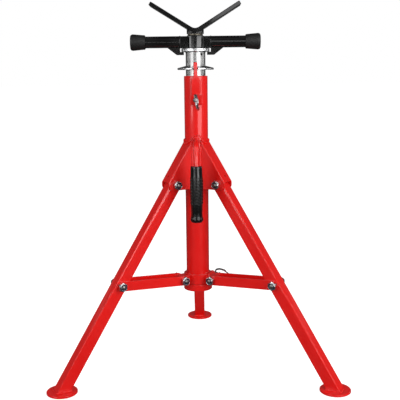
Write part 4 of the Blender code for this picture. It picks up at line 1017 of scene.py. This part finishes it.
# Each zinc joint's name, height and bead radius.
ZINC_JOINTS = (("flange_foot", 0.6650, 0.0011), ("disc_foot", 0.6332, 0.0010))


def circle_path(centre, direction, radius, steps=48):
    """Points round a circle that faces a direction."""
    matrix = stand_along(direction, centre)
    return [matrix @ Vector((x, y, 0)) for x, y in round_points(radius, steps)]


def saddle_underside(across):
    """Height of the V bar's underside: a bend in the middle, straight arms beside it."""
    edge = V_BEND * math.sin(V_SLOPE)
    if abs(across) < edge:
        return V_CENTRE - math.sqrt(V_BEND ** 2 - across ** 2)
    return V_CENTRE - V_BEND * math.cos(V_SLOPE) + (abs(across) - edge) * math.tan(V_SLOPE)


pin_out = radial(COLLAR_PIN_AZIMUTH)
boss_joint = circle_path(pin_out * PIN_BOSS_FOOT + up(COLLAR_HEIGHT), pin_out, 0.0084)
weld("collar_pin_boss", boss_joint, "collar", radius=0.0010, closed=True, ripple=0.0026)
for name, height, radius in ZINC_JOINTS:
    joint = circle_path(up(height), up(1), 0.0205)
    weld(name, joint, "inner", radius, finish=zinc_plate, slot="zinc_plate", closed=True)
black = {"finish": black_paint, "slot": "black_paint", "closed": True}
for label, sign in (("right", 1), ("left", -1)):
    arm_joint = circle_path(Vector((sign * ARM_END, 0, ARM_HEIGHT)), (1, 0, 0), 0.0116)
    weld("arm_end_" + label, arm_joint, "handle", radius=0.0010, **black)
v_joint = [
    (point.x, point.y, saddle_underside(point.x) - 0.0003)
    for point in circle_path(up(0), up(1), 0.0172, 96)
]
weld("v_boss", v_joint, "lift", radius=0.0006, **black)
print("welded the rest")

# %% [markdown]
# ## Floor, lights and camera
# The photo is a studio shot on white. The floor and world are white in plain sight, and the floor
# still darkens where the stand keeps light off it. Tall soft boxes stand left and right in front,
# and one behind. Glossy paint and metal show whatever stands round them, so a studio puts up pale
# panels and black screens for the reflections.

# %% Helpers for the stage
WHITE = (1, 1, 1, 1)
WORLD_LIGHT = 0.32
FLOOR_GREY = 0.62
FLOOR_GLOW = 0.82
FLOOR_DROP = 0.0005


def empty_tree(owner):
    """The node tree of a new world or material, cleared."""
    owner.use_nodes = True
    owner.node_tree.nodes.clear()
    return owner.node_tree


def seen_plainly(tree):
    """1 for rays from the camera, in reflections and through glass, and 0 for the rest."""
    path = add_node(tree, "ShaderNodeLightPath")
    mask = path.outputs["Is Camera Ray"]
    for ray in ("Is Glossy Ray", "Is Transmission Ray"):
        pair = {0: mask, 1: path.outputs[ray]}
        mask = add_node(tree, "ShaderNodeMath", pair, operation="MAXIMUM").outputs[0]
    return mask


def choose(tree, dim, bright, kind):
    """Show the bright shader to plain sight and the dim one to all other light."""
    shaders = {0: seen_plainly(tree), 1: dim.outputs[0], 2: bright.outputs[0]}
    mix = add_node(tree, "ShaderNodeMixShader", shaders)
    add_node(tree, kind, {"Surface": mix.outputs[0]})


# %% World and floor
def make_world():
    world = bpy.data.worlds.new("studio")
    bpy.context.scene.world = world
    tree = empty_tree(world)
    soft = add_node(tree, "ShaderNodeBackground", {"Color": WHITE, "Strength": WORLD_LIGHT})
    bright = add_node(tree, "ShaderNodeBackground", {"Color": WHITE, "Strength": 1.0})
    choose(tree, soft, bright, "ShaderNodeOutputWorld")


def make_floor():
    material = bpy.data.materials.new("white floor")
    tree = empty_tree(material)
    matt = add_node(tree, "ShaderNodeBsdfDiffuse", {"Color": (*grey(FLOOR_GREY), 1)})
    glow = add_node(tree, "ShaderNodeEmission", {"Color": WHITE, "Strength": FLOOR_GLOW})
    both = add_node(tree, "ShaderNodeAddShader", {0: matt.outputs[0], 1: glow.outputs[0]})
    choose(tree, matt, both, "ShaderNodeOutputMaterial")
    shape = bmesh.new()
    bmesh.ops.create_circle(shape, cap_ends=True, segments=64, radius=40)
    floor = link_mesh("floor", shape, material)
    floor.location = (0, 0, -FLOOR_DROP)


make_world()
make_floor()
print("white world and floor")

# %% Lamps
def direction_at(angle):
    """A flat direction at an angle to the right of the front."""
    return Vector((math.sin(angle), -math.cos(angle), 0))


def soft_box(name, angle, width, low, high, distance, power):
    """A tall area lamp that faces the stand and that reflections don't see."""
    light = bpy.data.lights.new(name, "AREA")
    light.shape = "RECTANGLE"
    light.size = width
    light.size_y = high - low
    light.energy = power
    lamp = bpy.data.objects.new(name, light)
    spot = direction_at(math.radians(angle)) * distance + AXIS
    lamp.location = spot + up((low + high) / 2)
    lamp.rotation_euler = (AXIS - spot).to_track_quat("-Z", "Y").to_euler()
    lamp.visible_camera = False
    lamp.visible_glossy = False
    bpy.context.scene.collection.objects.link(lamp)


# Each lamp's name, angle, width, lower and upper edge, distance and power.
LAMPS = (
    ("soft box left", -50, 1.4, 0.2, 2.4, 2.0, 21),
    ("soft box right", 50, 1.4, 0.2, 2.4, 2.0, 38),
    ("soft box back", 180, 2.0, 0.4, 2.6, 2.4, 16),
)
for lamp in LAMPS:
    soft_box(*lamp)
print(len(LAMPS), "soft boxes")

# %% [markdown]
# ### Panels and screens that only reflections see
# Two tall panels leave the crisp strips on the red tube. Low panels light the grip's bulb, the
# middle one the zinc tube, and narrow ones the flange and hub. High panels light the V head and
# the caps. A dark ring, ceiling and carpet keep everything else in the black paint and metal
# dark. A cloth that fades in from dark gives its strip a soft lower end.

# %% Cloths and screens
SCREEN_STEPS = 48


def screen_cloth(name, glow, fade_low=None, fade_high=None):
    """A glowing cloth, which may fade in from dark between two heights."""
    material = bpy.data.materials.new(name)
    tree = empty_tree(material)
    if fade_low is not None:
        place = add_node(tree, "ShaderNodeNewGeometry").outputs["Position"]
        height = add_node(tree, "ShaderNodeSeparateXYZ", {0: place}).outputs["Z"]
        ranges = {"Value": height, "From Min": fade_low, "From Max": fade_high, "To Max": glow}
        fade = add_node(tree, "ShaderNodeMapRange", ranges, interpolation_type="SMOOTHSTEP")
        glow = fade.outputs["Result"]
    cloth = add_node(tree, "ShaderNodeEmission", {"Strength": glow})
    add_node(tree, "ShaderNodeOutputMaterial", {"Surface": cloth.outputs[0]})
    return material


def place_screen(name, shape, cloth):
    """Stand a screen round the stage, where only reflections see it."""
    placed = link_mesh(name, shape, cloth)
    for ray in ("camera", "diffuse", "shadow", "transmission"):
        setattr(placed, "visible_" + ray, False)


def screen(name, levels, distance, cloth):
    """A curved screen through (height, first angle, last angle) levels, in degrees."""
    shape = bmesh.new()
    rows = []
    for height, first, last in levels:
        rows.append([
            shape.verts.new(direction_at(math.radians(angle)) * distance + AXIS + up(height))
            for angle in evenly(first, last, SCREEN_STEPS)
        ])
    skin(shape, rows, wrap=False)
    place_screen(name, shape, cloth)


def upright(low, high, first, last):
    """The levels of a screen with upright sides."""
    return (low, first, last), (high, first, last)


# %% Hang the panels and lay the carpet
NEAR, FAR = 1.95, 2.05
LEFT_LEVELS = ((0.36, -54, -29), (0.59, -54, -29), (0.63, -62, -23), (0.715, -64, -23))
RIGHT_LEVELS = (
    (0.12, 16, 42), (0.30, 16, 42), (0.40, 16, 55), (0.60, 16, 55), (0.66, 8, 62), (0.715, 10, 72),
)
# Each panel's name, levels, distance in metres, glow and the heights where it fades in.
PANELS = (
    ("left panel", LEFT_LEVELS, 2.0, 3.2, (0.37, 0.47)),
    ("right panel", RIGHT_LEVELS, 2.0, 3.2, (0.16, 0.32)),
    ("low left panel", upright(0.18, 0.275, -50, -18), NEAR, 5.0, (0.185, 0.225)),
    ("low right panel", upright(0.18, 0.275, 22, 50), NEAR, 7.0, (0.185, 0.225)),
    ("middle panel", upright(0.61, 0.665, -25, 12), 2.0, 3.0, ()),
    ("left flange panel", upright(0.716, 0.738, -72, -9), 2.0, 3.4, ()),
    ("right flange panel", upright(0.716, 0.738, 9, 112), 2.0, 3.4, ()),
    ("left hub panel", upright(0.738, 0.792, -112, -59), 2.0, 3.6, ()),
    ("right hub panel", upright(0.738, 0.792, 22, 112), 2.0, 3.9, ()),
    ("head panel", upright(0.845, 1.10, 1.5, 60), 2.0, 1.5, ()),
    ("high left panel", upright(0.96, 2.6, -68, -27), FAR, 2.4, ()),
    ("high right panel", upright(0.96, 2.6, 10, 62), FAR, 2.0, ()),
    ("left back panel", upright(0.60, 0.73, -155, -112), 2.5, 0.20, ()),
    ("right back panel", upright(0.60, 0.73, 112, 155), 2.5, 0.20, ()),
    ("dark ring", upright(-0.1, 4.0, -180, 180), 2.6, 0.06, ()),
)
for name, levels, distance, glow, fade in PANELS:
    screen(name, levels, distance, screen_cloth(name + " cloth", glow, *fade))

ceiling = bmesh.new()
bmesh.ops.create_circle(ceiling, cap_ends=True, segments=64, radius=2.7)
bmesh.ops.translate(ceiling, vec=AXIS + up(4), verts=ceiling.verts)
place_screen("dark ceiling", ceiling, screen_cloth("ceiling cloth", 0.10))

carpet = bmesh.new()
carpet_rings = []
for reach in (0.02, 2.6):
    spots_round = [direction_at(math.tau * step / 64) * reach for step in range(64)]
    carpet_rings.append([carpet.verts.new(spot + AXIS + up(0.001)) for spot in spots_round])
skin(carpet, carpet_rings)
place_screen("dark carpet", carpet, screen_cloth("carpet cloth", 0.05))
print(len(PANELS), "panels and screens, a ceiling and a carpet")

# %% [markdown]
# ### Camera
# The photograph's camera was worked out from the stand's own shape: it stands 1.53 m in front,
# 0.62 m up, and looks down by about 11 degrees. A small roll, turn and shift finish the framing.

# %% Camera
CAMERA_DISTANCE, CAMERA_HEIGHT = 1.5315, 0.6225
CAMERA_PITCH, CAMERA_ROLL, CAMERA_YAW = 0.1857, -0.0114, -0.0113
FOCAL_PIXELS = 737.744
CENTRE_X, CENTRE_Y = 197.27, 211.80
PICTURE = 400


def make_camera():
    turn = Matrix.Rotation(-CAMERA_YAW, 3, "Z")
    tilt = Vector((0, math.cos(CAMERA_PITCH), -math.sin(CAMERA_PITCH)))
    level_up = turn @ Vector((0, math.sin(CAMERA_PITCH), math.cos(CAMERA_PITCH)))
    level_right = turn @ Vector((1, 0, 0))
    right = level_right * math.cos(CAMERA_ROLL) + level_up * math.sin(CAMERA_ROLL)
    top = level_up * math.cos(CAMERA_ROLL) - level_right * math.sin(CAMERA_ROLL)
    place = Matrix((right, top, -(turn @ tilt))).transposed().to_4x4()
    place.translation = turn @ Vector((0, -CAMERA_DISTANCE, CAMERA_HEIGHT)) + AXIS
    data = bpy.data.cameras.new("camera")
    camera = bpy.data.objects.new("camera", data)
    bpy.context.scene.collection.objects.link(camera)
    camera.matrix_world = place
    data.sensor_width = 36
    data.lens = FOCAL_PIXELS * data.sensor_width / PICTURE
    data.shift_x = (PICTURE / 2 - CENTRE_X) / PICTURE
    data.shift_y = (CENTRE_Y - PICTURE / 2) / PICTURE
    data.clip_start = 0.02
    data.clip_end = 100
    bpy.context.scene.camera = camera
    return camera


camera = make_camera()
bpy.context.scene.view_settings.view_transform = "Standard"
print("camera at", tuple(round(value, 3) for value in camera.location))
